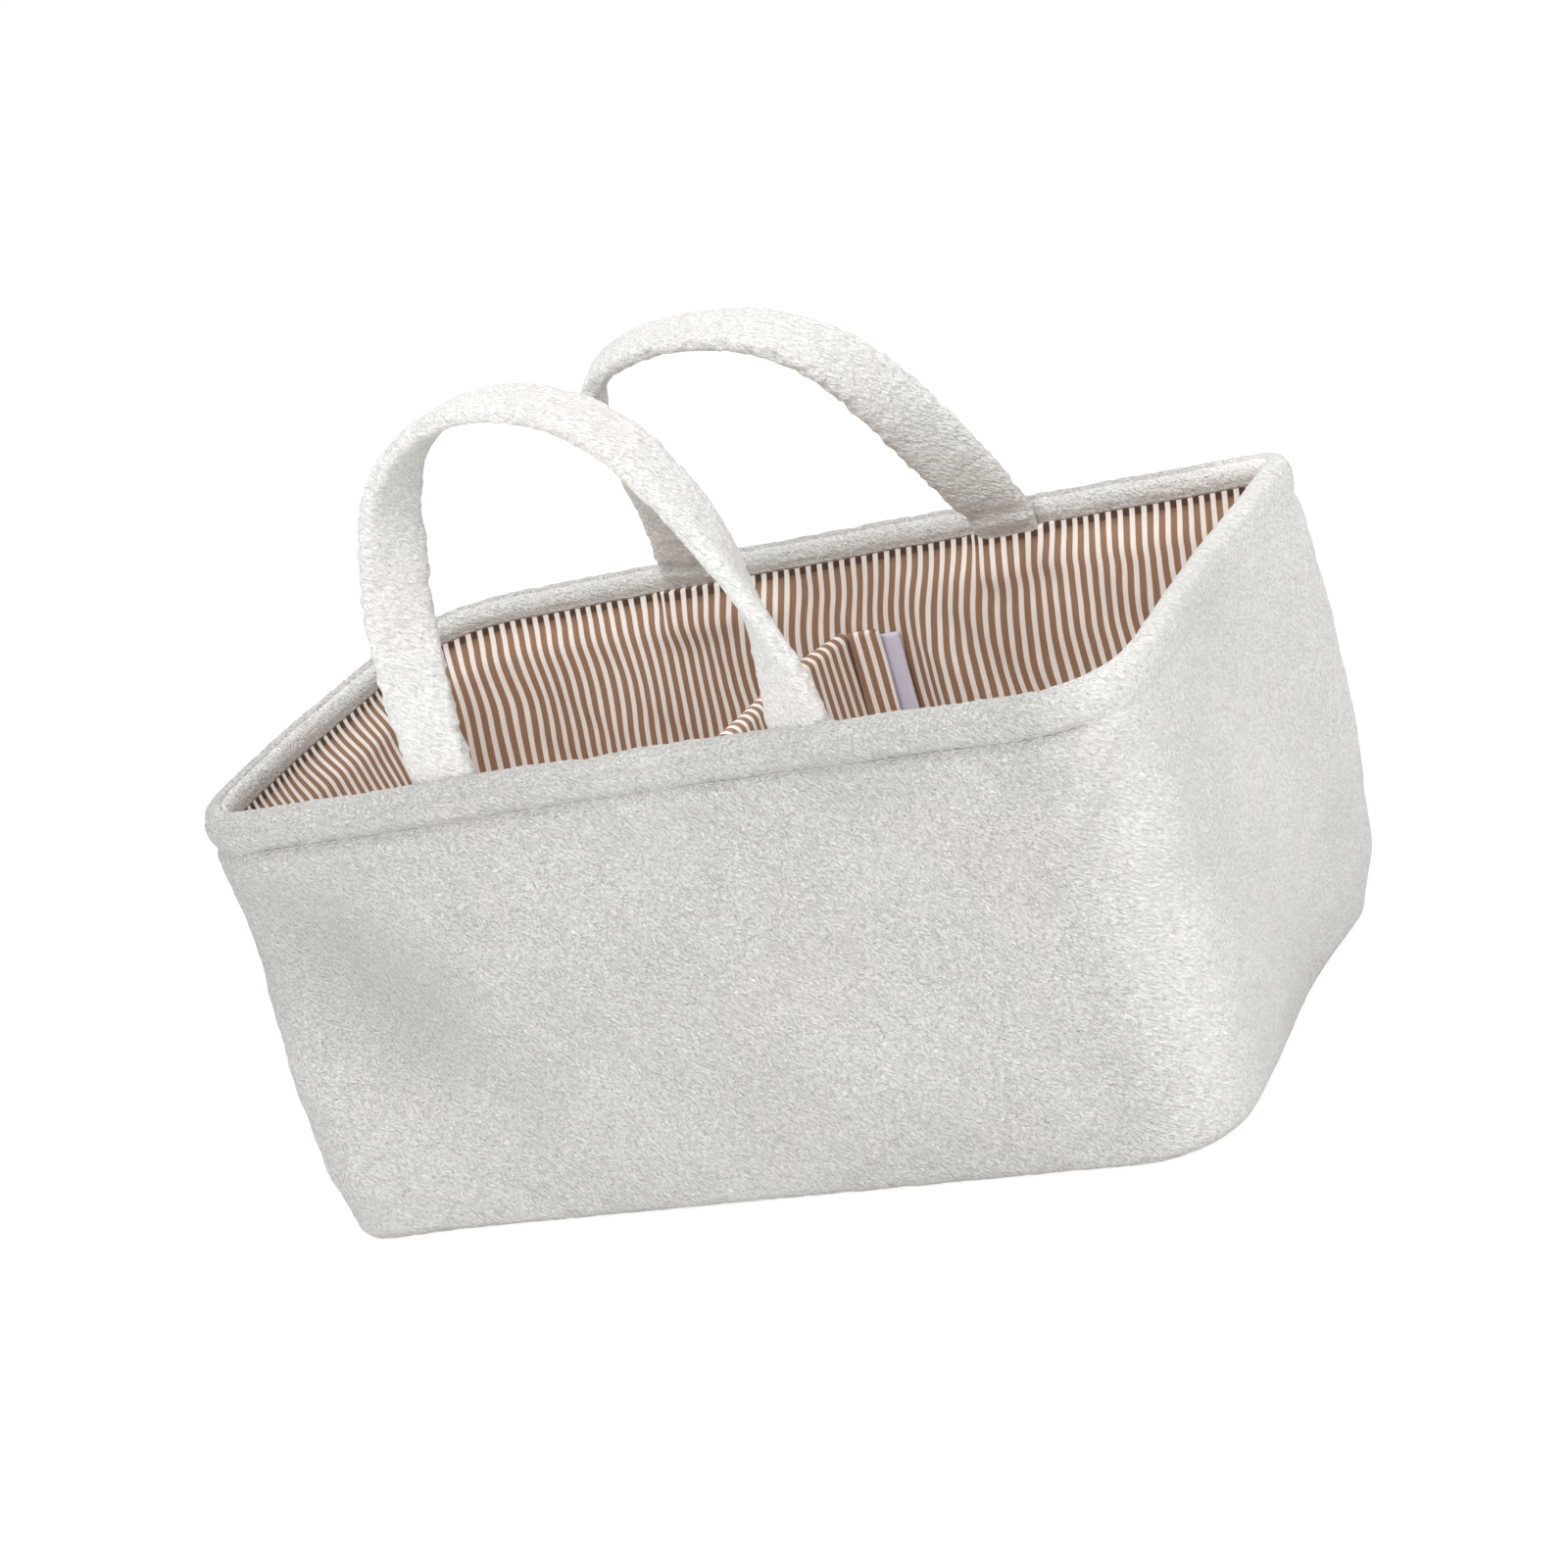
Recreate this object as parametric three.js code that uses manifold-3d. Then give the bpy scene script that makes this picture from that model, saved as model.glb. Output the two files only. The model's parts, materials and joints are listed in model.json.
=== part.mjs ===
// Diaper caddy: an open soft basket of padded fleece with a striped lining, two sewn strap
// handles and a lift-out cross divider held by hook-and-loop tape.
// Millimetres, +Z up. +X runs along the basket's length, -Y is its front, and the origin is
// on the ground under the middle of the basket's box.
import * as THREE from 'three';
import { mergeVertices } from 'three/addons/utils/BufferGeometryUtils.js';
import Module from 'manifold-3d';

// Basket
const rim_length = 380;
const rim_width = 210;
const base_length = 360;
const base_width = 196;
const basket_height = 181;
const rim_corner_front_left = 28;
const rim_corner_front_right = 20;
const rim_corner_back_right = 13;
const rim_corner_back_left = 55;
const base_corner = 20;

// Layers of the wall, from the outside in
const fleece = 3;
const wall_padding = 3.4;
const lining = 1;
const base_padding_height = 3.4;
const fit_gap = 0.3;
const facing_height = 10.5;
const base_edge_round = 2.5;

// Handles
const strap_width = 25;
const strap_thickness = 8;
const strap_fleece = 2.2;
const strap_edge_bevel = 2.4;
const front_handle_span = 144;
const front_handle_rise = 140;
const front_handle_shift = -7;
const back_handle_span = 137;
const back_handle_rise = 128;
const back_handle_shift = 10;
const front_handle_lean = THREE.MathUtils.degToRad(3);
const back_handle_lean = THREE.MathUtils.degToRad(25);
const handle_inward_limit = THREE.MathUtils.degToRad(36);
const root_tuck_depth = 18;
const root_tuck_thickness = 2.1;
const root_seam_height = 2.7;
const root_bend_gap = 0.5;

// Divider
const divider_height = 133;
const divider_foam = 5;
const divider_front_x = -30;
const divider_back_x = -3;
const tab_width = 13.5;
const tab_thickness = 1.6;
const tab_length = 112;
const tab_drop = 3;
const loop_tape_width = 20;
const loop_tape_thickness = 1.7;
const hook_tape_width = 11.5;
const hook_tape_thickness = 1.2;
const tape_length = 100;
const tape_inset = 1;

// Counts, and shapes without a size
const corner_steps = 8;
const crest_steps = 8;
const base_edge_steps = 3;
const arch_steps = 30;
const cap_steps = 6;
const cap_end_share = 0.85;
const arch_power = 2.2;
const twist_start_share = 0.08;
const twist_end_share = 0.85;

// Depths are measured square to the basket's outer face, in plan
const padding_depth = fleece + fit_gap;
const lining_depth = padding_depth + wall_padding + fit_gap;
const lining_face = lining_depth + lining;
const rim_thickness = lining_depth + fleece;
const crest_radius = rim_thickness / 2;
const crest_height = basket_height - crest_radius;
const facing_bottom = basket_height - facing_height;
const lining_top = facing_bottom - fit_gap;
const wall_bottom = fleece + fit_gap;
const wall_padding_bottom = wall_bottom + base_padding_height + fit_gap;
const lining_wall_bottom = wall_padding_bottom + lining + fit_gap;

const materials = {
  fleece: new THREE.MeshStandardMaterial({ color: 0xe4e0dc, roughness: 0.95, metalness: 0 }),
  padding: new THREE.MeshStandardMaterial({ color: 0xf2f2ee, roughness: 0.9, metalness: 0 }),
  lining: new THREE.MeshStandardMaterial({ color: 0xbf9f8b, roughness: 0.85, metalness: 0 }),
  tape: new THREE.MeshStandardMaterial({ color: 0xdcd8ee, roughness: 0.8, metalness: 0 }),
};

const { Manifold, Mesh } = await Module().then((wasm) => {
  wasm.setup();
  return wasm;
});

const caddy = new THREE.Group();

function add(parent, name, geometry, material) {
  const mesh = new THREE.Mesh(geometry, material);
  mesh.name = name;
  parent.add(mesh);
}

// Plan outlines. Each one starts at the middle of the front left corner and runs
// anticlockwise, so that a side is the stretch between the middles of two corners.
function rounded_outline(length, width, centre_y, corners) {
  const [front_left, front_right, back_right, back_left] = corners;
  const x = length / 2;
  const low = centre_y - width / 2;
  const high = centre_y + width / 2;
  const corner_list = [
    [-x + front_left, low + front_left, front_left, Math.PI],
    [x - front_right, low + front_right, front_right, -Math.PI / 2],
    [x - back_right, high - back_right, back_right, 0],
    [-x + back_left, high - back_left, back_left, Math.PI / 2],
  ];
  const points = [];
  for (const [cx, cy, radius, start] of corner_list) {
    for (let i = 0; i <= corner_steps; i += 1) {
      const angle = start + (Math.PI / 2) * (i / corner_steps);
      points.push(new THREE.Vector2(cx + radius * Math.cos(angle), cy + radius * Math.sin(angle)));
    }
  }
  const half = corner_steps / 2;
  return [...points.slice(half), ...points.slice(0, half)];
}

function inset(outline, depth) {
  const count = outline.length;
  return outline.map((point, i) => {
    const before = point.clone().sub(outline[(i + count - 1) % count]).normalize();
    const after = outline[(i + 1) % count].clone().sub(point).normalize();
    const normals = new THREE.Vector2(-before.y - after.y, before.x + after.x);
    return point.clone().addScaledVector(normals, depth / (1 + before.dot(after)));
  });
}

const base_centre_y = -(rim_width - base_width) / 2;
const rim_outline = rounded_outline(rim_length, rim_width, 0,
  [rim_corner_front_left, rim_corner_front_right, rim_corner_back_right, rim_corner_back_left]);
const base_outline = rounded_outline(base_length, base_width, base_centre_y,
  [base_corner, base_corner, base_corner, base_corner]);

// The wall runs straight from the base outline up to the middle of the rim's round crest,
// and keeps the rim outline above that.
function wall_ring(depth, z) {
  const share = Math.min(z / crest_height, 1);
  const low = inset(base_outline, depth);
  const high = inset(rim_outline, depth);
  return low.map((point, i) => point.clone().lerp(high[i], share));
}

function side_points(side, depth, z) {
  const ring = wall_ring(depth, z);
  const columns = corner_steps + 1;
  const points = [];
  for (let i = 0; i <= columns; i += 1) {
    points.push(ring[(side * columns + i) % ring.length].clone());
  }
  const trim = (end, next) => {
    const step = next.clone().sub(end);
    return end.clone().addScaledVector(step, fit_gap / 2 / step.length());
  };
  const first = trim(points[0], points[1]);
  const last = trim(points[columns], points[columns - 1]);
  return [first, ...points.slice(1, columns), last].map((p) => new THREE.Vector3(p.x, p.y, z));
}

// Closed solids from grids of points
function solid(points, faces) {
  const geometry = new THREE.BufferGeometry();
  const numbers = points.flatMap((p) => [p.x, p.y, p.z]);
  geometry.setAttribute('position', new THREE.Float32BufferAttribute(numbers, 3));
  geometry.setIndex(faces.flat());
  return geometry;
}

function quad(faces, a, b, c, d) {
  faces.push([a, b, c], [a, c, d]);
}

// rows: from the first row to the last, each with an outer and an inner line of points.
// Seen from outside, the lines run left to right and the rows run upwards.
function shell(outer_rows, inner_rows) {
  const rows = outer_rows.length;
  const columns = outer_rows[0].length;
  const points = [...outer_rows.flat(), ...inner_rows.flat()];
  const outer = (r, c) => r * columns + c;
  const inner = (r, c) => rows * columns + r * columns + c;
  const faces = [];
  for (let r = 0; r < rows - 1; r += 1) {
    for (let c = 0; c < columns - 1; c += 1) {
      quad(faces, outer(r, c), outer(r, c + 1), outer(r + 1, c + 1), outer(r + 1, c));
      quad(faces, inner(r, c), inner(r + 1, c), inner(r + 1, c + 1), inner(r, c + 1));
    }
    quad(faces, outer(r, 0), outer(r + 1, 0), inner(r + 1, 0), inner(r, 0));
    const c = columns - 1;
    quad(faces, outer(r, c), inner(r, c), inner(r + 1, c), outer(r + 1, c));
  }
  for (let c = 0; c < columns - 1; c += 1) {
    const r = rows - 1;
    quad(faces, outer(0, c), inner(0, c), inner(0, c + 1), outer(0, c + 1));
    quad(faces, outer(r, c), outer(r, c + 1), inner(r, c + 1), inner(r, c));
  }
  return solid(points, faces);
}

// Rings of points stacked on each other and closed by flat ends
function stack(rings) {
  const count = rings[0].length;
  const points = rings.flat();
  const faces = [];
  for (let r = 0; r < rings.length - 1; r += 1) {
    for (let c = 0; c < count; c += 1) {
      const next = (c + 1) % count;
      quad(faces, r * count + c, r * count + next, (r + 1) * count + next, (r + 1) * count + c);
    }
  }
  const top = (rings.length - 1) * count;
  for (let c = 1; c < count - 1; c += 1) {
    faces.push([0, c + 1, c], [top, top + c, top + c + 1]);
  }
  return solid(points, faces);
}

function to_manifold(geometry) {
  const bare = geometry.clone();
  bare.deleteAttribute('normal');
  bare.deleteAttribute('uv');
  const merged = mergeVertices(bare.index ? bare.toNonIndexed() : bare);
  return new Manifold(new Mesh({
    numProp: 3,
    vertProperties: new Float32Array(merged.attributes.position.array),
    triVerts: new Uint32Array(merged.index.array),
  }));
}

function from_manifold(body) {
  const mesh = body.getMesh();
  const geometry = new THREE.BufferGeometry();
  geometry.setAttribute('position', new THREE.BufferAttribute(new Float32Array(mesh.vertProperties), 3));
  geometry.setIndex(new THREE.BufferAttribute(new Uint32Array(mesh.triVerts), 1));
  return geometry;
}

function cut(geometry, cutters) {
  const whole = to_manifold(geometry);
  return from_manifold(cutters.reduce((body, cutter) => body.subtract(to_manifold(cutter)), whole));
}

// Basket base: fleece, padding and lining, one above the other
function base_ring(depth, z) {
  return inset(base_outline, depth).map((p) => new THREE.Vector3(p.x, p.y, z));
}

const base_edge_rings = [];
for (let i = 0; i <= base_edge_steps; i += 1) {
  const angle = (Math.PI / 2) * (i / base_edge_steps);
  base_edge_rings.push(base_ring(base_edge_round * (1 - Math.sin(angle)),
    base_edge_round * (1 - Math.cos(angle))));
}
add(caddy, 'outer_base', stack([...base_edge_rings, base_ring(0, fleece)]), materials.fleece);
add(caddy, 'base_padding', stack([
  base_ring(padding_depth, wall_bottom),
  base_ring(padding_depth, wall_bottom + base_padding_height),
]), materials.padding);
add(caddy, 'lining_base', stack([
  base_ring(lining_depth, wall_padding_bottom),
  base_ring(lining_depth, wall_padding_bottom + lining),
]), materials.lining);

// Handles. Each root is the strap's sewn end: it lies on the facing, goes through the seam
// between facing and lining, and is tucked between lining and padding.
const strap_face = crest_radius + fit_gap;
const handle_clear = strap_face * Math.cos(handle_inward_limit);
const handle_start = strap_face * Math.sin(handle_inward_limit);
const strap_centre = handle_clear + strap_thickness / 2;

const handles = {
  front: {
    outward: -1,
    span: front_handle_span,
    rise: front_handle_rise,
    shift: front_handle_shift,
    lean: front_handle_lean,
  },
  back: {
    outward: 1,
    span: back_handle_span,
    rise: back_handle_rise,
    shift: back_handle_shift,
    lean: back_handle_lean,
  },
};

function straight_wall_y(outward, depth, z) {
  const share = Math.min(z / crest_height, 1);
  const base_y = base_centre_y + outward * base_width / 2;
  const rim_y = outward * rim_width / 2;
  return THREE.MathUtils.lerp(base_y, rim_y, share) - outward * depth;
}

// The root's outline in depth and height, grown by a margin where it is used as a cutter
function root_profile(margin) {
  const seam_top = facing_bottom - fit_gap + margin;
  const seam_low = seam_top - root_seam_height - 2 * margin;
  const tuck_low = facing_bottom - root_tuck_depth - margin;
  const tuck_inner = lining_depth - fit_gap + margin;
  const tuck_outer = tuck_inner - root_tuck_thickness - 2 * margin;
  const near = rim_thickness + fit_gap - margin;
  const far = near + strap_thickness + 2 * margin;
  const slope = Math.tan(handle_inward_limit);
  const top_line = handle_start / Math.cos(handle_inward_limit) - root_bend_gap;
  const top = (depth) => crest_height + top_line + margin - slope * (depth - crest_radius);
  return [
    [tuck_outer, tuck_low],
    [tuck_inner, tuck_low],
    [tuck_inner, seam_low],
    [far, seam_low],
    [far, top(far)],
    [near, top(near)],
    [near, seam_top],
    [tuck_outer, seam_top],
  ];
}

function root_solid(handle, leg, margin) {
  const half = strap_width / 2 + margin;
  const middle = handle.shift + leg * handle.span / 2;
  const profile = root_profile(margin);
  const shape = new THREE.Shape(profile.map(([depth, z]) => new THREE.Vector2(depth, z)));
  const triangles = THREE.ShapeUtils.triangulateShape(shape.getPoints(), []);
  const points = [-half, half].flatMap((x) => profile.map(([depth, z]) => (
    new THREE.Vector3(middle + x, straight_wall_y(handle.outward, depth, z), z))));
  const count = profile.length;
  const faces = [];
  const flip = handle.outward > 0;
  const push = (a, b, c) => faces.push(flip ? [a, c, b] : [a, b, c]);
  for (const [a, b, c] of triangles) {
    push(a, c, b);
    push(count + a, count + b, count + c);
  }
  for (let i = 0; i < count; i += 1) {
    const next = (i + 1) % count;
    push(i, next, count + next);
    push(i, count + next, count + i);
  }
  return solid(points, faces);
}

const root_cutters = [];
for (const [side, handle] of Object.entries(handles)) {
  for (const [leg, place] of [[-1, 'left'], [1, 'right']]) {
    add(caddy, `${side}_handle_${place}_root`, root_solid(handle, leg, 0), materials.fleece);
    root_cutters.push({ side, solid: root_solid(handle, leg, fit_gap) });
  }
}

// Basket walls
function crest_row(side, radius, angle) {
  const depth = crest_radius - radius * Math.cos(angle);
  const row = side_points(side, depth, crest_height);
  return row.map((p) => new THREE.Vector3(p.x, p.y, crest_height + radius * Math.sin(angle)));
}

// The outer panel goes up, over the crest and down inside as the facing
function outer_panel(side) {
  const outer_rows = [side_points(side, 0, wall_bottom)];
  const inner_rows = [side_points(side, fleece, wall_bottom)];
  for (let i = 0; i <= crest_steps; i += 1) {
    const angle = Math.PI * (i / crest_steps);
    outer_rows.push(crest_row(side, crest_radius, angle));
    inner_rows.push(crest_row(side, crest_radius - fleece, angle));
  }
  outer_rows.push(side_points(side, rim_thickness, facing_bottom));
  inner_rows.push(side_points(side, rim_thickness - fleece, facing_bottom));
  return shell(outer_rows, inner_rows);
}

function flat_layer(side, depth, thickness, bottom, top) {
  const rows = (at) => [side_points(side, at, bottom), side_points(side, at, top)];
  return shell(rows(depth), rows(depth + thickness));
}

const sides = ['front', 'right', 'back', 'left'];
sides.forEach((side, index) => {
  const panel = side === 'front' || side === 'back' ? 'panel' : 'end';
  const cutters = root_cutters.filter((cutter) => cutter.side === side).map((cutter) => cutter.solid);
  const padding = flat_layer(index, padding_depth, wall_padding, wall_padding_bottom, crest_height);
  const inside = flat_layer(index, lining_depth, lining, lining_wall_bottom, lining_top);
  add(caddy, `outer_${side}_${panel}`, outer_panel(index), materials.fleece);
  add(caddy, `padding_${side}`, cutters.length ? cut(padding, cutters) : padding, materials.padding);
  add(caddy, `lining_${side}`, cutters.length ? cut(inside, cutters) : inside, materials.lining);
});

// The strap stands on its root with its width along the rim, and turns a quarter turn on
// the way up, so that it lies flat in the hand at the top of the arch.
function arch_frames(handle) {
  const half_span = handle.span / 2;
  const rise = handle.rise - strap_thickness / 2 - handle_start;
  const frames = [];
  for (let i = 0; i <= arch_steps; i += 1) {
    const angle = Math.PI * (1 - i / arch_steps);
    const along = Math.sign(Math.cos(angle)) * Math.abs(Math.cos(angle)) ** (2 / arch_power);
    const up = Math.abs(Math.sin(angle)) ** (2 / arch_power);
    frames.push({ along, up, place: new THREE.Vector3(half_span * along, 0, handle_start + rise * up) });
  }
  frames.forEach((frame, i) => {
    const before = frames[Math.max(i - 1, 0)].place;
    const after = frames[Math.min(i + 1, arch_steps)].place;
    const ends = i === 0 || i === arch_steps;
    const chord = after.clone().sub(before).normalize();
    const tangent = ends ? new THREE.Vector3(0, 0, i === 0 ? 1 : -1) : chord;
    const inward = new THREE.Vector3(tangent.z, 0, -tangent.x);
    const share = THREE.MathUtils.smoothstep(frame.up, twist_start_share, twist_end_share);
    const turn = (Math.PI / 2) * share;
    const to_wall = new THREE.Vector3(0, handle.outward, 0);
    frame.normal = to_wall.multiplyScalar(Math.cos(turn)).addScaledVector(inward, Math.sin(turn));
    frame.across = new THREE.Vector3().crossVectors(frame.normal, tangent);
  });
  return frames;
}

function strap_section(shrink) {
  const half_width = strap_width / 2 - shrink;
  const half_height = strap_thickness / 2 - shrink;
  const bevel = strap_edge_bevel - shrink * (2 - Math.SQRT2);
  return [
    [half_width, half_height - bevel],
    [half_width - bevel, half_height],
    [-half_width + bevel, half_height],
    [-half_width, half_height - bevel],
    [-half_width, -half_height + bevel],
    [-half_width + bevel, -half_height],
    [half_width - bevel, -half_height],
    [half_width, -half_height + bevel],
  ];
}

function strap_rings(frames, shrink) {
  return frames.map((frame) => strap_section(shrink).map(([across, up]) => (
    frame.place.clone().addScaledVector(frame.across, across).addScaledVector(frame.normal, up))));
}

function sleeve(outer_rings, inner_rings) {
  const count = outer_rings[0].length;
  const rings = outer_rings.length;
  const points = [...outer_rings.flat(), ...inner_rings.flat()];
  const outer = (r, c) => r * count + (c % count);
  const inner = (r, c) => (rings + r) * count + (c % count);
  const faces = [];
  for (let c = 0; c < count; c += 1) {
    for (let r = 0; r < rings - 1; r += 1) {
      quad(faces, outer(r, c), outer(r, c + 1), outer(r + 1, c + 1), outer(r + 1, c));
      quad(faces, inner(r, c), inner(r + 1, c), inner(r + 1, c + 1), inner(r, c + 1));
    }
    const last = rings - 1;
    quad(faces, outer(0, c), inner(0, c), inner(0, c + 1), outer(0, c + 1));
    quad(faces, outer(last, c), outer(last, c + 1), inner(last, c + 1), inner(last, c));
  }
  return solid(points, faces);
}

for (const [side, handle] of Object.entries(handles)) {
  const frames = arch_frames(handle);
  const swing = new THREE.Group();
  const crest_y = straight_wall_y(handle.outward, crest_radius, crest_height);
  swing.position.set(handle.shift, crest_y, crest_height);
  swing.rotation.x = handle.outward * handle.lean;
  const arch = new THREE.Group();
  arch.position.y = -handle.outward * strap_centre;
  swing.add(arch);
  caddy.add(swing);
  const cover = sleeve(strap_rings(frames, 0), strap_rings(frames, strap_fleece));
  const core = stack(strap_rings(frames, strap_fleece + fit_gap));
  add(arch, `${side}_handle_cover`, cover, materials.fleece);
  add(arch, `${side}_handle_core`, core, materials.padding);
}

// Divider. It stands on the lining and reaches the facing's depth at both walls, so that it
// lifts straight out past the rim.
const divider_depth = rim_thickness + fit_gap;
const divider_bottom = lining_wall_bottom;
const divider_top = divider_bottom + divider_height;
const cover_half = divider_foam / 2 + fit_gap + lining;
const divider_front_y = straight_wall_y(-1, divider_depth, divider_top);
const divider_back_y = straight_wall_y(1, divider_depth, divider_top);
const divider_slope = (divider_back_x - divider_front_x) / (divider_back_y - divider_front_y);
const divider_stretch = Math.hypot(1, divider_slope);

function divider_point(outward, across, z, depth = divider_depth) {
  const y = straight_wall_y(outward, depth, z);
  const x = divider_front_x + (y - divider_front_y) * divider_slope + across * divider_stretch;
  return new THREE.Vector3(x, y, z);
}

function cap_profile(half, end_angle) {
  const middle = divider_top - cover_half;
  const profile = [[-half, divider_bottom]];
  for (let i = 0; i <= cap_steps; i += 1) {
    const angle = end_angle * (i / cap_steps);
    profile.push([-half * Math.cos(angle), middle + half * Math.sin(angle)]);
  }
  return profile;
}

const cover_lines = (half) => {
  const profile = cap_profile(half, Math.PI);
  const closed = [...profile, [half, divider_bottom]];
  return closed.map(([across, z]) => [divider_point(1, across, z), divider_point(-1, across, z)]);
};
const divider_cover = shell(cover_lines(cover_half), cover_lines(cover_half - lining));
add(caddy, 'divider_cover', divider_cover, materials.lining);

const core_lines = (sign) => cap_profile(divider_foam / 2, (Math.PI / 2) * cap_end_share)
  .map(([across, z]) => [divider_point(1, sign * across, z), divider_point(-1, sign * across, z)]);
add(caddy, 'divider_core', shell(core_lines(1), core_lines(-1)), materials.padding);

// A patch lies along the front or back wall, between two depths and two heights, and is
// placed sideways from where the tab meets the divider's right face.
const tab_depth = divider_depth + hook_tape_thickness + fit_gap;

function tab_root_x(outward, z) {
  const faces = [divider_depth, tab_depth + tab_thickness];
  return Math.max(...faces.map((depth) => divider_point(outward, cover_half + fit_gap, z, depth).x));
}

function patch(outward, depth, thickness, left, width, bottom, height) {
  const row = (at, z) => [left, left + width].map((x) => (
    new THREE.Vector3(tab_root_x(outward, z) + x, straight_wall_y(outward, at, z), z)));
  const rows = (at) => [row(at, bottom), row(at, bottom + height)];
  const near = rows(depth);
  const far = rows(depth + thickness);
  return outward < 0 ? shell(near, far) : shell(far, near);
}

const tab_bottom = divider_top - tab_drop - tab_length;
const tape_bottom = tab_bottom + (tab_length - tape_length) / 2;
for (const [side, handle] of Object.entries(handles)) {
  const tab = patch(handle.outward, tab_depth, tab_thickness, 0, tab_width, tab_bottom, tab_length);
  const hook = patch(handle.outward, divider_depth, hook_tape_thickness, tape_inset, hook_tape_width,
    tape_bottom, tape_length);
  const loop = patch(handle.outward, lining_face + fit_gap, loop_tape_thickness, 0, loop_tape_width,
    tape_bottom, tape_length);
  add(caddy, `divider_${side}_tab`, tab, materials.lining);
  add(caddy, `${side}_hook_tape`, hook, materials.tape);
  add(caddy, `${side}_loop_tape`, loop, materials.tape);
}

export default caddy;
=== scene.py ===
"""Diaper caddy: curly fleece basket, striped lining, twisted strap handles and a soft divider."""
import json
import math

import bmesh
import bpy
import numpy as np
from mathutils import Matrix, Vector


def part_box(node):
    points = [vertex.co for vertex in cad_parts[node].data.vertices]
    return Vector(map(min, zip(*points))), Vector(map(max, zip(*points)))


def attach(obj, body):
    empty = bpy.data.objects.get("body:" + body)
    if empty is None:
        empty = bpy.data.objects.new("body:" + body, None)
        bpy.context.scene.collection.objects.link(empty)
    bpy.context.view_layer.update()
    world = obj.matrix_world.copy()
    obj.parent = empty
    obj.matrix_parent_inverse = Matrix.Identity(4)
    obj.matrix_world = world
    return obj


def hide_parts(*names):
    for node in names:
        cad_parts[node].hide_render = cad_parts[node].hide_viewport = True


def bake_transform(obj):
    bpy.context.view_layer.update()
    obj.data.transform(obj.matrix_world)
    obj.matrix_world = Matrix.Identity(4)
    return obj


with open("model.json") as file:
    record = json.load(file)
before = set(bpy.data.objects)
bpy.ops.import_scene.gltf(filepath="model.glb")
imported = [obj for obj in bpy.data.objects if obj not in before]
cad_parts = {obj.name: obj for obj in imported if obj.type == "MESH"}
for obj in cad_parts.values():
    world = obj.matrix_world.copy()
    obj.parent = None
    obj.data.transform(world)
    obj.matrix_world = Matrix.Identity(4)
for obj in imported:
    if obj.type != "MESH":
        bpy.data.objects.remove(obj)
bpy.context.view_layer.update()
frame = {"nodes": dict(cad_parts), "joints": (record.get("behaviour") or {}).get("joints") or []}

MM = 0.001


# Places and sizes read from the frame, in millimetres
def cad_box(node):
    low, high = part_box(node)
    return np.array(low) / MM, np.array(high) / MM


def joint_place(name):
    joint = next(joint for joint in frame["joints"] if joint["name"] == name)
    return np.array(joint["pos_m"]) / MM


BASE_LOW, BASE_HIGH = cad_box("outer_base")
FRONT_LOW, FRONT_HIGH = cad_box("outer_front_panel")
DIVIDER_LOW, DIVIDER_HIGH = cad_box("divider_cover")
FRONT_TAPE_LOW = cad_box("front_loop_tape")[0]
BACK_TAPE_LOW = cad_box("back_loop_tape")[0]

RIM_TOP = FRONT_HIGH[2]
RIM_FRONT = FRONT_LOW[1]
RIM_BACK = cad_box("outer_back_panel")[1][1]
RIM_X = cad_box("outer_right_end")[1][0]
FACING_BOTTOM = cad_box("lining_front")[1][2]
FLOOR_TOP = cad_box("lining_base")[1][2]

FRONT_AXIS = joint_place("front_handle_fold")
BACK_AXIS = joint_place("back_handle_fold")
CREST_Z = FRONT_AXIS[2]
CREST_RADIUS = RIM_TOP - CREST_Z
RIM_THICKNESS = 2 * CREST_RADIUS

# Sizes that only the looks need, in millimetres. Corner radii go from the front left one
# anticlockwise, and the depths are measured from the outer face of the fleece.
RIM_CORNERS = (28, 36, 10, 55)
BASE_CORNERS = (15, 36, 22, 22)
BOTTOM_ROUND = 7
FLEECE = 3
PADDING_DEPTH = 3.3
PADDING_THICKNESS = 3.4
LINING_DEPTH = 7
LINING_THICKNESS = 1
STITCH_Z = RIM_TOP - 15.5
STRIPE_PERIOD = 4.8
COVER_HALF = 3.8
# Line that the pile lies along, in degrees down from +x
NAP_TURN = 48

# Distance between the columns of each piece that follows the wall
OUTER_SPACING = 1.3
PADDING_SPACING = 5
LINING_SPACING = 2.4
STITCH_SPACING = 1.0
# Length that the rounded corners take from each side, and the length of a corner's own curve
SIDE_CORNERS = (50, 50, 60, 70)
CORNER_RUN = 20
# Smallest ring of a base, as a share of its edge. A fan of faces closes what is left.
INNERMOST = 0.04

# Camera fitted to the photograph: degrees, then millimetres
AZIMUTH = 29.04
ELEVATION = 20.06
ROLL = -18.95
DISTANCE = 1619.0
TARGET = (6.38, -7.0, 123.11)
LENS = 100
SENSOR = 36

# Multipliers and largest value of the whole-number hash behind the noise
HASH_X, HASH_Y, HASH_Z = np.uint32(374761393), np.uint32(668265263), np.uint32(2147483647)
HASH_MIX = 1274126177
HASH_MAX = 0xFFFFFFFF


def lattice(x, y, z, seed):
    """A fixed value from -1 to 1 for each whole-numbered cell."""
    h = x.astype(np.uint32) * HASH_X + y.astype(np.uint32) * HASH_Y + z.astype(np.uint32) * HASH_Z
    h = h + np.uint32(seed * HASH_MIX & HASH_MAX)
    h = (h ^ (h >> np.uint32(13))) * np.uint32(HASH_MIX)
    h = h ^ (h >> np.uint32(16))
    return h.astype(np.float64) / HASH_MAX * 2 - 1


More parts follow.
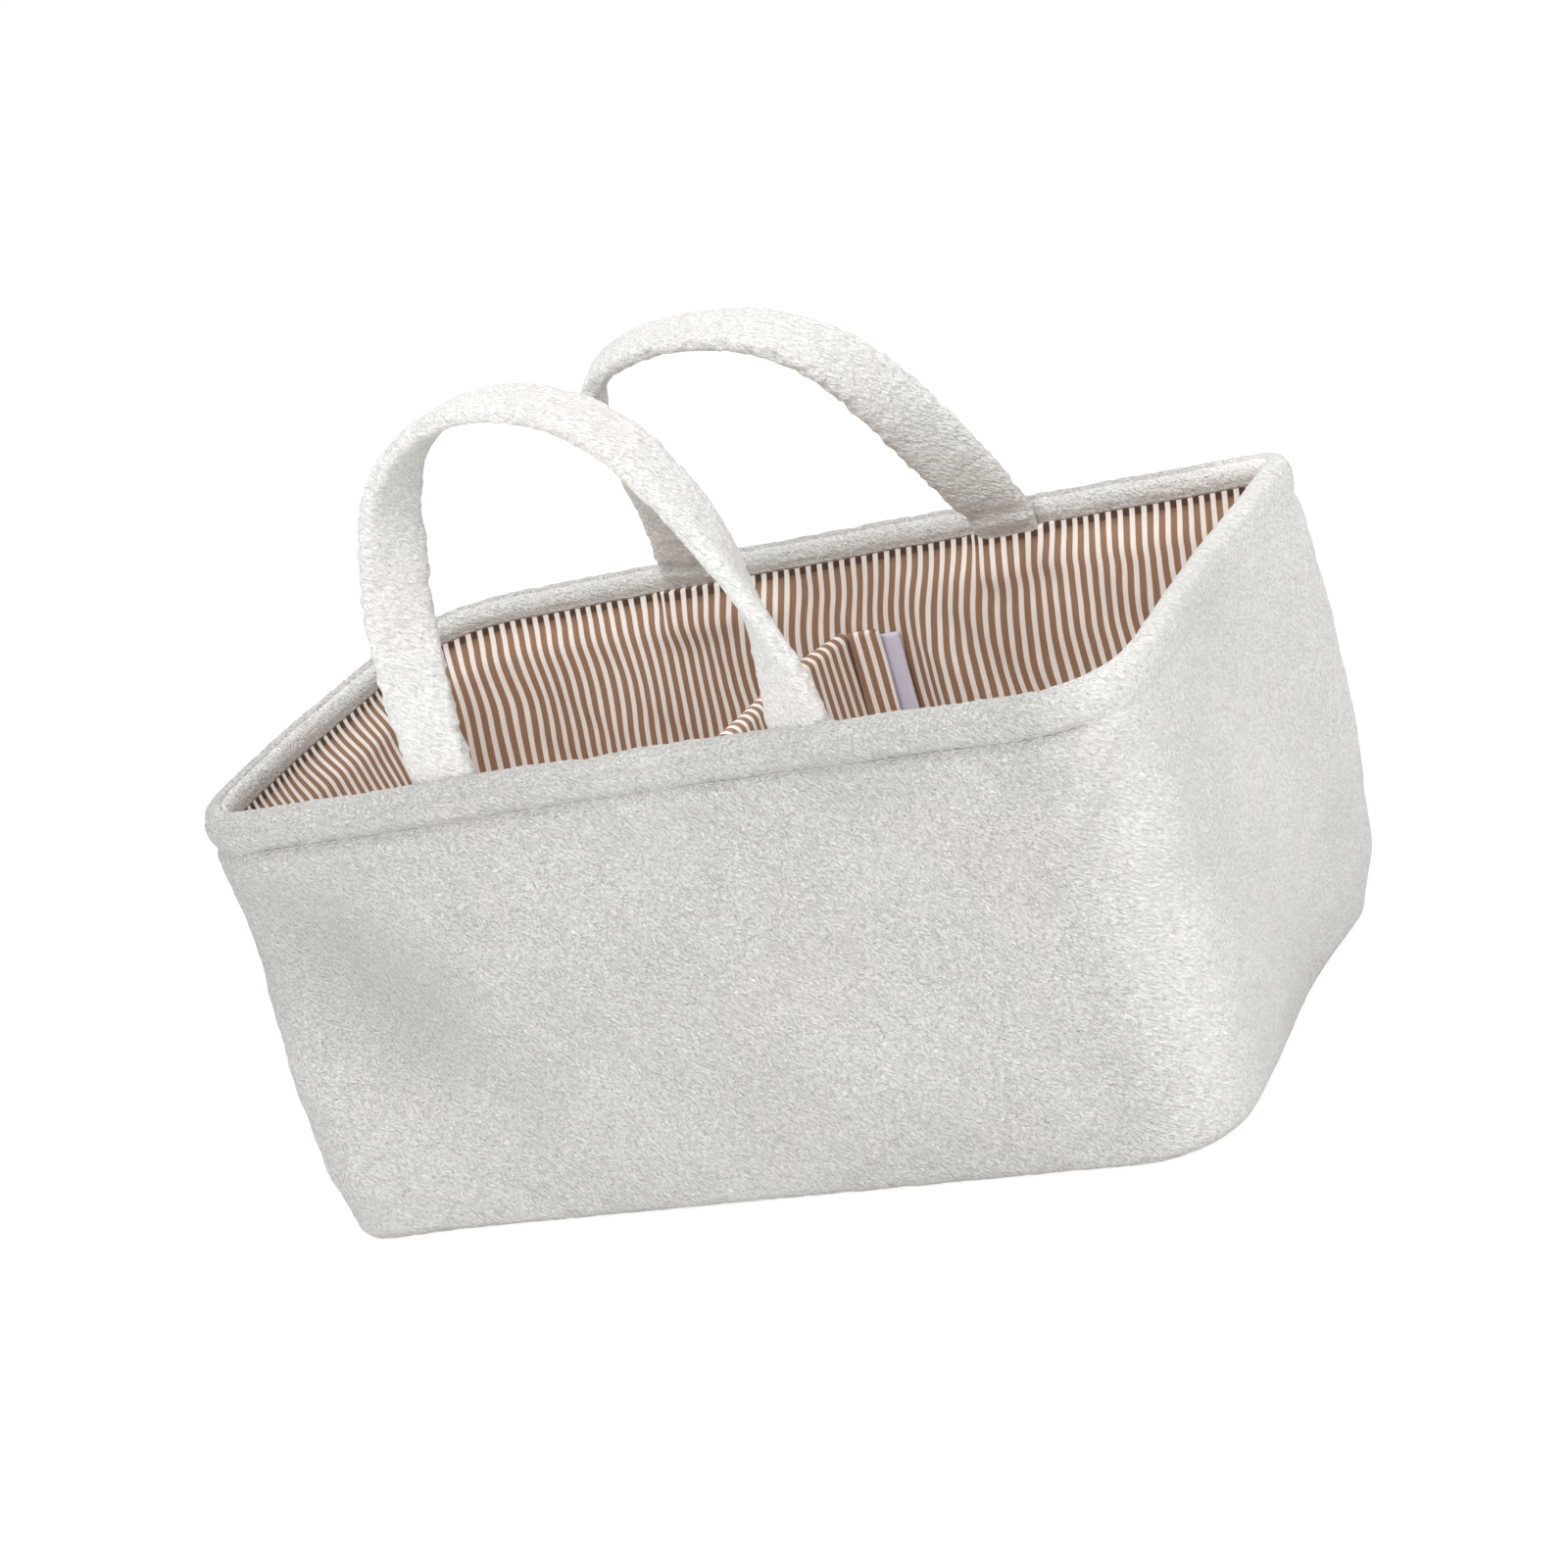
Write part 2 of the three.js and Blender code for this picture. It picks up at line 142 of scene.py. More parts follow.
def noise(points, period, seed):
    """Smooth noise from -1 to 1 at an array of points, the same on every run."""
    place = points / period
    cell = np.floor(place).astype(np.int64)
    share = place - cell
    share = share * share * share * (share * (share * 6 - 15) + 10)
    total = np.zeros(points.shape[:-1])
    for corner in np.ndindex(2, 2, 2):
        near = [share[..., k] if step else 1 - share[..., k] for k, step in enumerate(corner)]
        x, y, z = (cell[..., k] + step for k, step in enumerate(corner))
        total += near[0] * near[1] * near[2] * lattice(x, y, z, seed)
    return total


def smoothstep(low, high, x):
    """0 at low and 1 at high, with a smooth rise between them."""
    t = np.clip((x - low) / (high - low), 0, 1)
    return t * t * (3 - 2 * t)


def bell(distance, reach):
    """1 at no distance, falling off smoothly over the reach."""
    return np.exp(-(distance / reach) ** 2)


def pile(points, amount):
    """Height in mm of the fleece's small curls over its backing, and the same from 0 to 1."""
    curls = 0.6 - np.abs(noise(points, period=4.2, seed=11)) * 1.6
    fine = noise(points, period=2.7, seed=12)
    clumps = noise(points, period=7, seed=13)
    height = 0.55 * curls + 0.45 * fine + 0.2 * clumps
    return height * amount, np.clip(0.5 + 0.5 * height, 0, 1)


def running_length(points):
    """Length along a line of points, from 0 at its start."""
    steps = np.linalg.norm(np.diff(points, axis=0), axis=1)
    return np.concatenate([[0], np.cumsum(steps)])


# Plan outlines, from the middle of the front left corner round anticlockwise
def rounded_outline(low, high, corners, straight, arc):
    """Points of a rounded rectangle: arc steps in each corner and straight[k] steps on side k."""
    front_left, front_right, back_right, back_left = corners
    centres = [
        (low[0] + front_left, low[1] + front_left, front_left, math.pi),
        (high[0] - front_right, low[1] + front_right, front_right, 1.5 * math.pi),
        (high[0] - back_right, high[1] - back_right, back_right, 0),
        (low[0] + back_left, high[1] - back_left, back_left, 0.5 * math.pi),
    ]
    arcs = []
    for x, y, radius, start in centres:
        angles = start + np.linspace(0, 0.5 * math.pi, arc + 1)
        arcs.append(np.stack([x + radius * np.cos(angles), y + radius * np.sin(angles)], 1))
    half = arc // 2
    sides = []
    for k in range(4):
        first = arcs[k][half:]
        last = arcs[(k + 1) % 4][: half + 1]
        share = np.linspace(0, 1, straight[k] + 1)[1:-1, None]
        between = first[-1] * (1 - share) + last[0] * share
        sides.append(np.concatenate([first, between, last]))
    points = np.concatenate([side[:-1] for side in sides])
    starts = np.cumsum([0] + [len(side) - 1 for side in sides])
    return points, starts


def inset(outline, depth):
    """The outline moved inward by a depth."""
    before = outline - np.roll(outline, 1, 0)
    after = np.roll(outline, -1, 0) - outline
    before /= np.linalg.norm(before, axis=1)[:, None]
    after /= np.linalg.norm(after, axis=1)[:, None]
    normals = np.stack([-before[:, 1] - after[:, 1], before[:, 0] + after[:, 0]], 1)
    return outline + normals * (depth / (1 + (before * after).sum(1)))[:, None]


# Soft dents (-) and bulges (+) of the wall: centre, reach along x, y, z, amount in mm, and
# the turn of the reach in the xz plane, in degrees down from +x
WALL_SHAPE = [
    ((0, RIM_FRONT, RIM_TOP), (100, 60, 60), -5.5, 0),
    ((-154, RIM_FRONT, 110), (36, 28, 18), -13.0, 50),
    ((-RIM_X, RIM_FRONT, 135), (20, 24, 26), 3.5, 0),
    ((-66, RIM_FRONT, 120), (46, 40, 24), 3.0, 30),
    ((60, RIM_FRONT, 151), (85, 40, 8), -2.2, 0),
    ((-165, RIM_FRONT, 40), (30, 40, 30), 1.5, 0),
    ((-RIM_X, RIM_FRONT, 88), (26, 40, 55), 3.5, 0),
    ((40, RIM_FRONT, 62), (110, 40, 50), 3.0, 0),
    ((112, RIM_FRONT, 92), (16, 40, 34), -3.0, 60),
    ((174, RIM_FRONT, 128), (26, 30, 7), -4.0, -58),
    ((RIM_X - 6, RIM_FRONT + 6, 92), (22, 22, 48), -4.0, 0),
    ((RIM_X, -45, 85), (30, 32, 42), 5.0, 0),
    ((RIM_X, 5, 125), (30, 45, 40), -2.0, 0),
    ((RIM_X, RIM_BACK - 25, 88), (34, 55, 52), 8.5, 0),
    ((RIM_X - 50, RIM_BACK, 80), (60, 40, 50), 3.0, 0),
    ((-RIM_X, 80, RIM_TOP), (60, 60, 90), -7.0, 0),
    ((-90, RIM_BACK, RIM_TOP), (80, 50, 90), -4.0, 0),
    ((-20, RIM_BACK, 60), (120, 40, 60), 3.0, 0),
    ((-RIM_X, 0, 60), (30, 60, 60), 4.0, 0),
]

# The same at the base edge
BASE_SHAPE = [
    ((RIM_X - 12, 22, 0), (30, 34, 26), -4.0, 0),
    ((RIM_X - 8, RIM_BACK - 20, 22), (26, 36, 20), 3.0, 0),
    ((-RIM_X + 8, RIM_FRONT + 8, 4), (20, 26, 26), 3.5, 0),
]

# The same for the lining, which is soft and a little too large for its wall
LINING_SHAPE = [
    ((-RIM_X, 10, 120), (50, 60, 26), 5.0, 0),
    ((RIM_X, 10, 110), (50, 70, 40), 3.0, 0),
    ((-75, RIM_BACK, 110), (40, 50, 40), 2.0, 0),
    ((90, RIM_BACK, 118), (50, 50, 26), 3.5, 25),
    ((60, RIM_BACK, 70), (50, 50, 24), 2.5, 25),
]

# Painted shade in the hollow at the front left: the fleece's colour is darkened there to stand in for
# the hollow's shade. The amount is in shade.
PAINTED_HOLLOW_SHADE = [((-156, RIM_FRONT, 117), (52, 34, 19), 2.6, 38)]

# Where the divider's front end lifts past the rim, and how far the wall gives way there
LIFT_X = -20
LIFT_ROOM = 2.2


def turned(points, turn):
    """Places along and across a line that is turned down from +x by some degrees."""
    c, s = math.cos(math.radians(turn)), math.sin(math.radians(turn))
    x, z = points[..., 0], points[..., 2]
    return x * c - z * s, x * s + z * c


def bumps(points, shapes):
    """Sum of the dents and bulges at an array of points."""
    push = np.zeros(points.shape[:-1])
    for centre, reach, amount, turn in shapes:
        offset = points - np.array(centre)
        along, across = turned(offset, turn)
        far = (along / reach[0]) ** 2 + (across / reach[2]) ** 2 + (offset[..., 1] / reach[1]) ** 2
        push += amount * np.exp(-0.5 * far)
    return push


def wall_push(points):
    """How far the wall moves outward at undeformed points of its outer face."""
    push = bumps(points, WALL_SHAPE)
    push += 0.9 * noise(points, period=46, seed=21) + 0.45 * noise(points, period=22, seed=22)
    # Faint creases that run the way the nap lies
    along, across = turned(points, NAP_TURN)
    drawn_out = np.stack([along * 0.2, points[..., 1] * 0.5, across], -1)
    push += 0.45 * noise(drawn_out, period=7, seed=23)
    return push * smoothstep(0, 30, points[..., 2]) + bumps(points, BASE_SHAPE)


def lift_room(points):
    """How far the inner face of the front wall gives way where the divider's end lifts past."""
    room = LIFT_ROOM * bell(points[..., 0] - LIFT_X, 15) * smoothstep(125, 158, points[..., 2])
    return np.where(points[..., 1] < 0, room, 0)


class Wall:
    """The basket's wall on a grid of columns round the outline, at one spacing."""

    def __init__(self, spacing):
        length = 2 * RIM_X
        width = RIM_BACK - RIM_FRONT
        # A corner's columns are an even number, because each of its sides takes half of them
        self.corner = 2 * round(CORNER_RUN / spacing)
        sides = zip((length, width, length, width), SIDE_CORNERS)
        straight = [round((side - corners) / spacing) for side, corners in sides]
        rim_low, rim_high = (-RIM_X, RIM_FRONT), (RIM_X, RIM_BACK)
        self.rim, self.starts = rounded_outline(rim_low, rim_high, RIM_CORNERS, straight, self.corner)
        self.base, _ = rounded_outline(BASE_LOW, BASE_HIGH, BASE_CORNERS, straight, self.corner)
        self.count = len(self.rim)

    def plan(self, depth, z):
        """Plan of the undented wall at a depth and height, between those of base and rim."""
        share = z / CREST_Z
        return inset(self.base, depth) * (1 - share) + inset(self.rim, depth) * share

    def ring(self, depth, z, drawn_z=None):
        """Points at a depth from the outer face and a height z, and their outward directions.
        Those of the crest, which has the plan of CREST_Z, are drawn higher, at drawn_z.
        """
        face = self.plan(0, z)
        outward = face - self.plan(1, z)
        outward /= np.linalg.norm(outward, axis=1)[:, None]
        flat = np.column_stack([face, np.full(self.count, z)])
        push = wall_push(flat) + lift_room(flat) * smoothstep(FLEECE, LINING_DEPTH, depth)
        plan = self.plan(depth, z) + outward * push[:, None]
        heights = np.full(self.count, z if drawn_z is None else drawn_z)
        return np.column_stack([plan, heights]), np.column_stack([outward, np.zeros(self.count)])


def base_rows(ring, shares, z):
    """Copies of a ring drawn in toward its centre, all at one height."""
    centre = ring.mean(0)
    rows = [centre + (ring - centre) * share for share in shares]
    for row in rows:
        row[:, 2] = z
    return rows


# Meshes
def with_centres(values):
    """The values of all rings in one list, then the means of the first and of the last ring."""
    listed = values.reshape(-1, *values.shape[2:])
    return np.concatenate([listed, [values[0].mean(0), values[-1].mean(0)]])


def corner_vertices(mesh):
    """The vertex at each face corner."""
    vertices = np.zeros(len(mesh.loops), np.int64)
    mesh.loops.foreach_get("vertex_index", vertices)
    return vertices


def add_uvs(mesh, uvs):
    layer = mesh.uv_layers.new(name="cloth")
    layer.data.foreach_set("uv", uvs.astype(np.float32).ravel())


def link_object(name, data):
    obj = bpy.data.objects.new(name, data)
    bpy.context.scene.collection.objects.link(obj)
    return obj


def rows_mesh(name, rows, uvs=None, attributes=None):
    """An object from rings of points, (rings, points, 3), closed by a fan at each end."""
    rings, around = rows.shape[:2]
    index = np.arange(rings * around).reshape(rings, around)
    after = np.roll(index, -1, 1)
    quads = np.stack([index[:-1], after[:-1], after[1:], index[1:]], -1).reshape(-1, 4)
    faces = [tuple(quad) for quad in quads.tolist()]
    start_centre = rings * around
    end_centre = start_centre + 1
    faces += [(start_centre, b, a) for a, b in zip(index[0].tolist(), after[0].tolist())]
    faces += [(end_centre, a, b) for a, b in zip(index[-1].tolist(), after[-1].tolist())]
    mesh = bpy.data.meshes.new(name)
    mesh.from_pydata((with_centres(rows) * MM).tolist(), [], faces)
    if uvs is not None:
        add_uvs(mesh, with_centres(uvs)[corner_vertices(mesh)])
    for key, values in (attributes or {}).items():
        attribute = mesh.attributes.new(key, "FLOAT", "POINT")
        attribute.data.foreach_set("value", with_centres(values).astype(np.float32))
    mesh.shade_smooth()
    return link_object(name, mesh)


# Materials
class Shader:
    """A material, with the few node operations that the cloths need."""

    def __init__(self, name, roughness, sheen):
        self.material = bpy.data.materials.new(name)
        self.material.use_nodes = True
        self.tree = self.material.node_tree
        self.bsdf = self.tree.nodes["Principled BSDF"]
        self.bsdf.inputs["Roughness"].default_value = roughness
        self.bsdf.inputs["Sheen Weight"].default_value = sheen
        self.bsdf.inputs["Sheen Roughness"].default_value = 0.5
        self.bsdf.inputs["Specular IOR Level"].default_value = 0.25

    def link(self, out, into):
        self.tree.links.new(out, into)

    def node(self, kind, vector=None, **values):
        """A node with its settings and input values, and the vector that it works on."""
        node = self.tree.nodes.new(kind)
        for key, value in values.items():
            if hasattr(node, key):
                setattr(node, key, value)
            else:
                node.inputs[key.replace("_", " ")].default_value = value
        if vector is not None:
            self.link(vector, node.inputs["Vector"])
        return node

    def attribute(self, name):
        return self.node("ShaderNodeAttribute", attribute_name=name).outputs["Fac"]

    def calc(self, operation, *values):
        node = self.node("ShaderNodeMath", operation=operation)
        for socket, value in zip(node.inputs, values):
            if isinstance(value, (int, float)):
                socket.default_value = value
            else:
                self.link(value, socket)
        return node.outputs[0]

    def ramp(self, value, low, high, interpolation="LINEAR"):
        """0 where the value is low and 1 where it is high."""
        node = self.node("ShaderNodeMapRange", interpolation_type=interpolation,
                         From_Min=low, From_Max=high)
        self.link(value, node.inputs["Value"])
        return node.outputs[0]

    def mix(self, factor, a, b):
        """Colour a where the factor is 0 and b where it is 1."""
        node = self.node("ShaderNodeMix", data_type="RGBA")
        # The colour sockets of this node come after those for numbers and vectors
        for socket, value in zip((node.inputs[0], node.inputs[6], node.inputs[7]), (factor, a, b)):
            if isinstance(value, tuple):
                socket.default_value = (*value, 1)
            else:
                self.link(value, socket)
        return node.outputs[2]

    def bump(self, height, strength, distance, normal=None):
        node = self.node("ShaderNodeBump", Strength=strength, Distance=distance)
        self.link(height, node.inputs["Height"])
        if normal is not None:
            self.link(normal, node.inputs["Normal"])
        return node.outputs["Normal"]

    def finish(self, colour, normal):
        self.link(colour, self.bsdf.inputs["Base Color"])
        self.link(normal, self.bsdf.inputs["Normal"])
        return self.material


def linear(r, g, b):
    """Scene-linear colour from 0-255 display values."""
    out = []
    for v in (r, g, b):
        c = v / 255
        out.append(c / 12.92 if c <= 0.04045 else ((c + 0.055) / 1.055) ** 2.4)
    return tuple(out)


FLEECE_TIP = linear(240, 241, 237)
# Painted shade: the fleece's colour in the crevices between its curls and in the front left hollow
FLEECE_PAINTED_SHADE = linear(218, 216, 212)
FLEECE_WARM = linear(242, 237, 234)
STRIPE_BROWN = linear(166, 132, 106)
STRIPE_DARK = linear(140, 106, 82)
STRIPE_CREAM = linear(244, 236, 230)
# Painted shade: the near-black of the brown stripes' ends under the facing's edge
STRIPE_SEAM_SHADE = linear(62, 42, 32)
TAPE_COLOUR = linear(222, 218, 236)
WADDING_COLOUR = linear(240, 240, 236)
THREAD_COLOUR = linear(214, 208, 203)

# The curls' lean, as a turn and a stretch of their pattern, and the relief in metres
CURL_TURN = (0, 0.66, 0.6)
CURL_STRETCH = (2.2, 0.9, 0.9)
CURL_RELIEF = 0.0032
FIBRE_RELIEF = 0.0005
# Edges of the brown stripe's soft border, as distances from its middle in periods
BAND_FULL = 0.245
BAND_GONE = 0.31
# The lining's weave: spacing of its threads in mm, their relief in metres, and the yarn's grain
WEFT_SPACING = 0.55
WARP_SPACING = 0.5
WEAVE_RELIEF = 0.0002
YARN_RELIEF = 0.0003
YARN_GRAIN = (1500, 90, 1)
# Relief of the plain cloths in metres
SPECK_RELIEF = 0.0005


def fleece_material():
    s = Shader("fleece", roughness=0.95, sheen=0.25)
    place = s.node("ShaderNodeTexCoord").outputs["Object"]
    # The curls lean, so the pattern is drawn out a little along one slanting line
    mapping = s.node("ShaderNodeMapping", place, vector_type="TEXTURE",
                     Rotation=CURL_TURN, Scale=CURL_STRETCH)
    lean = mapping.outputs[0]
    curl = s.node("ShaderNodeTexNoise", lean, Scale=920, Detail=3, Roughness=0.6, Distortion=0.7)
    loops = s.node("ShaderNodeTexVoronoi", lean, feature="SMOOTH_F1", Scale=800, Smoothness=0.6)
    fibre = s.node("ShaderNodeTexNoise", lean, Scale=2300, Detail=2, Roughness=0.6)
    patch = s.node("ShaderNodeTexNoise", place, Scale=22, Detail=1)
    round_top = s.calc("SUBTRACT", 1.0, loops.outputs["Distance"])
    relief = s.calc("ADD", s.calc("MULTIPLY", curl.outputs["Fac"], 0.95),
                    s.calc("MULTIPLY", round_top, 0.45))
    # Tips are white, and the ground between the curls gets painted shade, a little darker and warmer.
    # The pile attribute also carries the painted shade of the front left hollow and the painted light
    # of the facing.
    level = s.calc("ADD", s.calc("MULTIPLY", s.attribute("pile"), 0.15),
                   s.calc("MULTIPLY", relief, 0.95))
    tip = s.mix(s.ramp(patch.outputs["Fac"], 0.42, 0.62), FLEECE_TIP, FLEECE_WARM)
    colour = s.mix(s.ramp(level, 0.6, 0.92), FLEECE_PAINTED_SHADE, tip)
    nap = s.attribute("nap")
    normal = s.bump(s.calc("MULTIPLY", relief, nap), 1.0, CURL_RELIEF)
    normal = s.bump(s.calc("MULTIPLY", fibre.outputs["Fac"], nap), 0.6, FIBRE_RELIEF, normal)
    return s.finish(colour, normal)


def stripe_material():
    s = Shader("striped_cotton", roughness=0.85, sheen=0.1)
    uv = s.node("ShaderNodeUVMap", uv_map="cloth").outputs["UV"]
    split = s.node("ShaderNodeSeparateXYZ", uv).outputs
    place = s.calc("FRACT", s.calc("DIVIDE", split["X"], STRIPE_PERIOD * MM))
    from_middle = s.calc("ABSOLUTE", s.calc("SUBTRACT", place, 0.5))
    band = s.ramp(from_middle, BAND_GONE, BAND_FULL, "SMOOTHSTEP")
    stretch = s.node("ShaderNodeVectorMath", uv, operation="MULTIPLY")
    stretch.inputs[1].default_value = YARN_GRAIN
    yarn = s.node("ShaderNodeTexNoise", stretch.outputs[0], Scale=1, Detail=2).outputs["Fac"]
    brown = s.mix(yarn, STRIPE_DARK, STRIPE_BROWN)
    # Painted shade darkens the brown stripes at the lining's top edge, under the facing
    brown = s.mix(s.calc("MULTIPLY", s.attribute("painted_seam_shade"), 0.85), brown, STRIPE_SEAM_SHADE)
    weft = s.calc("SINE", s.calc("MULTIPLY", split["Y"], 2 * math.pi / (WEFT_SPACING * MM)))
    warp = s.calc("SINE", s.calc("MULTIPLY", split["X"], 2 * math.pi / (WARP_SPACING * MM)))
    normal = s.bump(s.calc("MULTIPLY", weft, warp), 0.25, WEAVE_RELIEF)
    normal = s.bump(yarn, 0.3, YARN_RELIEF, normal)
    return s.finish(s.mix(band, STRIPE_CREAM, brown), normal)


def plain_cloth(name, colour, grain, roughness=0.85):
    s = Shader(name, roughness, sheen=0.15)
    place = s.node("ShaderNodeTexCoord").outputs["Object"]
    speck = s.node("ShaderNodeTexNoise", place, Scale=grain, Detail=3, Roughness=0.6).outputs["Fac"]
    dark = tuple(c * 0.8 for c in colour)
    return s.finish(s.mix(speck, dark, colour), s.bump(speck, 0.5, SPECK_RELIEF))


MATERIALS = {
    "fleece": fleece_material(),
    "stripe": stripe_material(),
    "tape": plain_cloth("brushed_tape", TAPE_COLOUR, 1800),
    "wadding": plain_cloth("wadding", WADDING_COLOUR, 500),
    "thread": plain_cloth("thread", THREAD_COLOUR, 2500, 0.6),
}


def finish_piece(obj, material, body, nodes=()):
    """Give a piece its material and slot, hide the CAD parts that it stands for, and attach it to its
    body. A blended piece has no body here.
    """
    obj.data.materials.append(MATERIALS[material])
    if nodes:
        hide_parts(*nodes)
    if body:
        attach(obj, body)


# Outer fleece: base, wall, crest and facing in one closed skin
CREST_RINGS = 17
# The last rings of the crest already look like the facing
FACING_RINGS = 6
# Height of the base's backing over the ground, which its pile fills
BACKING_Z = 0.9
# Puffs of the hem and the groove between them: height over the topstitching, reach and amount
HEM_SHAPE = [(8.5, 5.5, 1.5), (-7, 6, 0.5), (0, 1.7, -2.3)]
# The pile's height in mm and range of shade, how much shorter the facing's pile is, and the painted
# light that makes the facing's colour lighter against the shade inside the rim
PILE_HEIGHT = 0.5
SHADE_RANGE = (-2.4, 1.6)
FACING_NAP = 0.6
FACING_PAINTED_LIGHT = 1.2


def hem_relief(row, z):
    """How far the hem stands off the wall at one height, with small puckers along its stitches."""
    over = z - STITCH_Z
    relief = sum(amount * bell(over - height, reach) for height, reach, amount in HEM_SHAPE)
    pucker = 0.5 * noise(row * [1, 1, 0.35], period=8, seed=31) * bell(over, 8)
    # The hem is softer on the right end, and a little on the left one
    firm = 1 - 0.6 * smoothstep(RIM_X - 25, RIM_X - 5, row[:, 0])
    firm *= 1 - 0.35 * smoothstep(RIM_X - 30, RIM_X - 10, -row[:, 0])
    return relief * firm + pucker


def outer_rings(wall):
    """Rings of the skin, from the middle of the base round to the middle of its inside. Each has
    its points, the directions that the pile grows in, the pile's share, and whether it is on
    the facing or further in.
    """
    down = np.tile([0.0, 0.0, -1.0], (wall.count, 1))
    edge = wall.ring(BOTTOM_ROUND, 0)[0]
    for row in base_rows(edge, np.linspace(INNERMOST, 1, 44), BACKING_Z):
        yield row, down, 0.35, False
    for angle in np.linspace(0, 0.5 * math.pi, 9)[1:]:
        depth = BOTTOM_ROUND * (1 - math.sin(angle))
        z = BOTTOM_ROUND * (1 - math.cos(angle))
        row, out = wall.ring(depth, z)
        yield row, out * math.sin(angle) + down * math.cos(angle), 0.7, False
    for z in np.arange(BOTTOM_ROUND + OUTER_SPACING, CREST_Z, OUTER_SPACING):
        row, out = wall.ring(0, z)
        yield row + out * hem_relief(row, z)[:, None], out, 1, False
    for k, angle in enumerate(np.linspace(0, math.pi, CREST_RINGS)):
        depth = CREST_RADIUS * (1 - math.cos(angle))
        row, out = wall.ring(depth, CREST_Z, CREST_Z + CREST_RADIUS * math.sin(angle))
        yield row, out * math.cos(angle) - down * math.sin(angle), 1, k >= CREST_RINGS - FACING_RINGS
    for z in np.linspace(CREST_Z, FACING_BOTTOM + 1, 9)[1:]:
        row, out = wall.ring(RIM_THICKNESS, z)
        tuck = 1.6 * smoothstep(FACING_BOTTOM + 5, FACING_BOTTOM, z)
        yield row + out * tuck, -out, 1, True
    # Inside of the skin, never seen
    yield wall.ring(RIM_THICKNESS - FLEECE + 1, FACING_BOTTOM)[0], down, 0, True
    yield wall.ring(RIM_THICKNESS - FLEECE, FACING_BOTTOM + 3)[0], down, 0, True
    radius = CREST_RADIUS - FLEECE
    for angle in np.linspace(math.pi, 0, 5):
        depth = CREST_RADIUS - radius * math.cos(angle)
        yield wall.ring(depth, CREST_Z, CREST_Z + radius * math.sin(angle))[0], down, 0, True
    for z in np.linspace(FACING_BOTTOM, FLEECE + 1, 40):
        yield wall.ring(FLEECE, z)[0], down, 0, True
    for row in base_rows(wall.ring(FLEECE, FLEECE + 1)[0], (0.97, 0.6, 0.3, INNERMOST), FLEECE):
        yield row, down, 0, True


def build_outer():
    rings = zip(*outer_rings(Wall(OUTER_SPACING)))
    rows, outs, shares, facing = (np.array(part) for part in rings)
    height, shade = pile(rows, PILE_HEIGHT)
    clouds = 0.5 * noise(rows, period=60, seed=51) + 0.35 * noise(rows, period=26, seed=52)
    # Painted shade darkens the hollow at the front left; the clouds are soft random changes of tone
    shade = np.clip(shade - bumps(rows, PAINTED_HOLLOW_SHADE) + clouds, *SHADE_RANGE)
    nap = 1 - 0.45 * smoothstep(RIM_X - 40, RIM_X - 10, rows[..., 0])
    nap[facing] *= FACING_NAP
    # Painted light: the facing's colour is made lighter to offset the shade that the walls cast inside
    # the rim
    shade[facing] += FACING_PAINTED_LIGHT
    rows = rows + outs * (height * shares[:, None] * nap)[..., None]
    rows[..., 2] = np.maximum(rows[..., 2], 0)
    obj = rows_mesh("basket_fleece", rows, attributes={"pile": shade, "nap": nap})
    nodes = ["outer_front_panel", "outer_back_panel", "outer_left_end", "outer_right_end", "outer_base"]
    finish_piece(obj, "fleece", "basket", nodes)


# Wadding between fleece and lining
def build_padding():
    wall = Wall(PADDING_SPACING)
    inner_depth = PADDING_DEPTH + PADDING_THICKNESS
    lower = wall.ring(PADDING_DEPTH, PADDING_DEPTH)[0]
    upper = wall.ring(inner_depth, FLOOR_TOP)[0]
    rows = base_rows(lower, (INNERMOST, 0.5, 0.98), PADDING_DEPTH)
    rows += [wall.ring(PADDING_DEPTH, z)[0] for z in np.linspace(FLEECE + 1, CREST_Z, 34)]
    rows += [wall.ring(inner_depth, z)[0] for z in np.linspace(CREST_Z, FLOOR_TOP, 34)]
    rows += base_rows(upper, (0.97, 0.5, INNERMOST), inner_depth)
    obj = rows_mesh("basket_wadding", np.array(rows))
    nodes = ["padding_front", "padding_back", "padding_left", "padding_right", "base_padding"]
    finish_piece(obj, "wadding", "basket", nodes)


# Striped lining
LINING_FACE = LINING_DEPTH + LINING_THICKNESS
# Its top rings: height over the facing's bottom, and share of the painted shade, dark ticks on the
# brown stripes under the facing's edge
LINING_TOP = np.array([(-3.2, 0.4), (-2.3, 1), (-1.4, 1), (-0.4, 1), (0.6, 1)])
# How far it swells over a tucked strap end
ROOT_SWELL = 4.6
# Distance along x from a loop tape's lower side to where the divider meets it
TAPE_CENTRE = 6


def tape_flat(points):
    """1 on the lining, falling to 0 where the loop tapes are sewn to it."""
    keep = np.ones(len(points))
    for tape in (FRONT_TAPE_LOW, BACK_TAPE_LOW):
        near = 1 - smoothstep(16, 30, np.abs(points[:, 0] - tape[0] - TAPE_CENTRE))
        near *= 1 - smoothstep(25, 45, np.abs(points[:, 1] - tape[1]))
        keep *= 1 - near
    return keep


def root_swell(points):
    """How far the lining's top edge stands off over the four tucked strap ends."""
    swell = np.zeros(len(points))
    for handle in HANDLES.values():
        x, y, _ = handle["axis"]
        # The line of each strap starts and ends in the middle of its sewn ends
        for end in (handle["line"][0], handle["line"][-1]):
            near = 1 - smoothstep(11, 19, np.abs(points[:, 0] - x - end[0]))
            near *= 1 - smoothstep(20, 40, np.abs(points[:, 1] - y))
            swell += near * smoothstep(FACING_BOTTOM - 26, FACING_BOTTOM - 4, points[:, 2])
    return ROOT_SWELL * swell


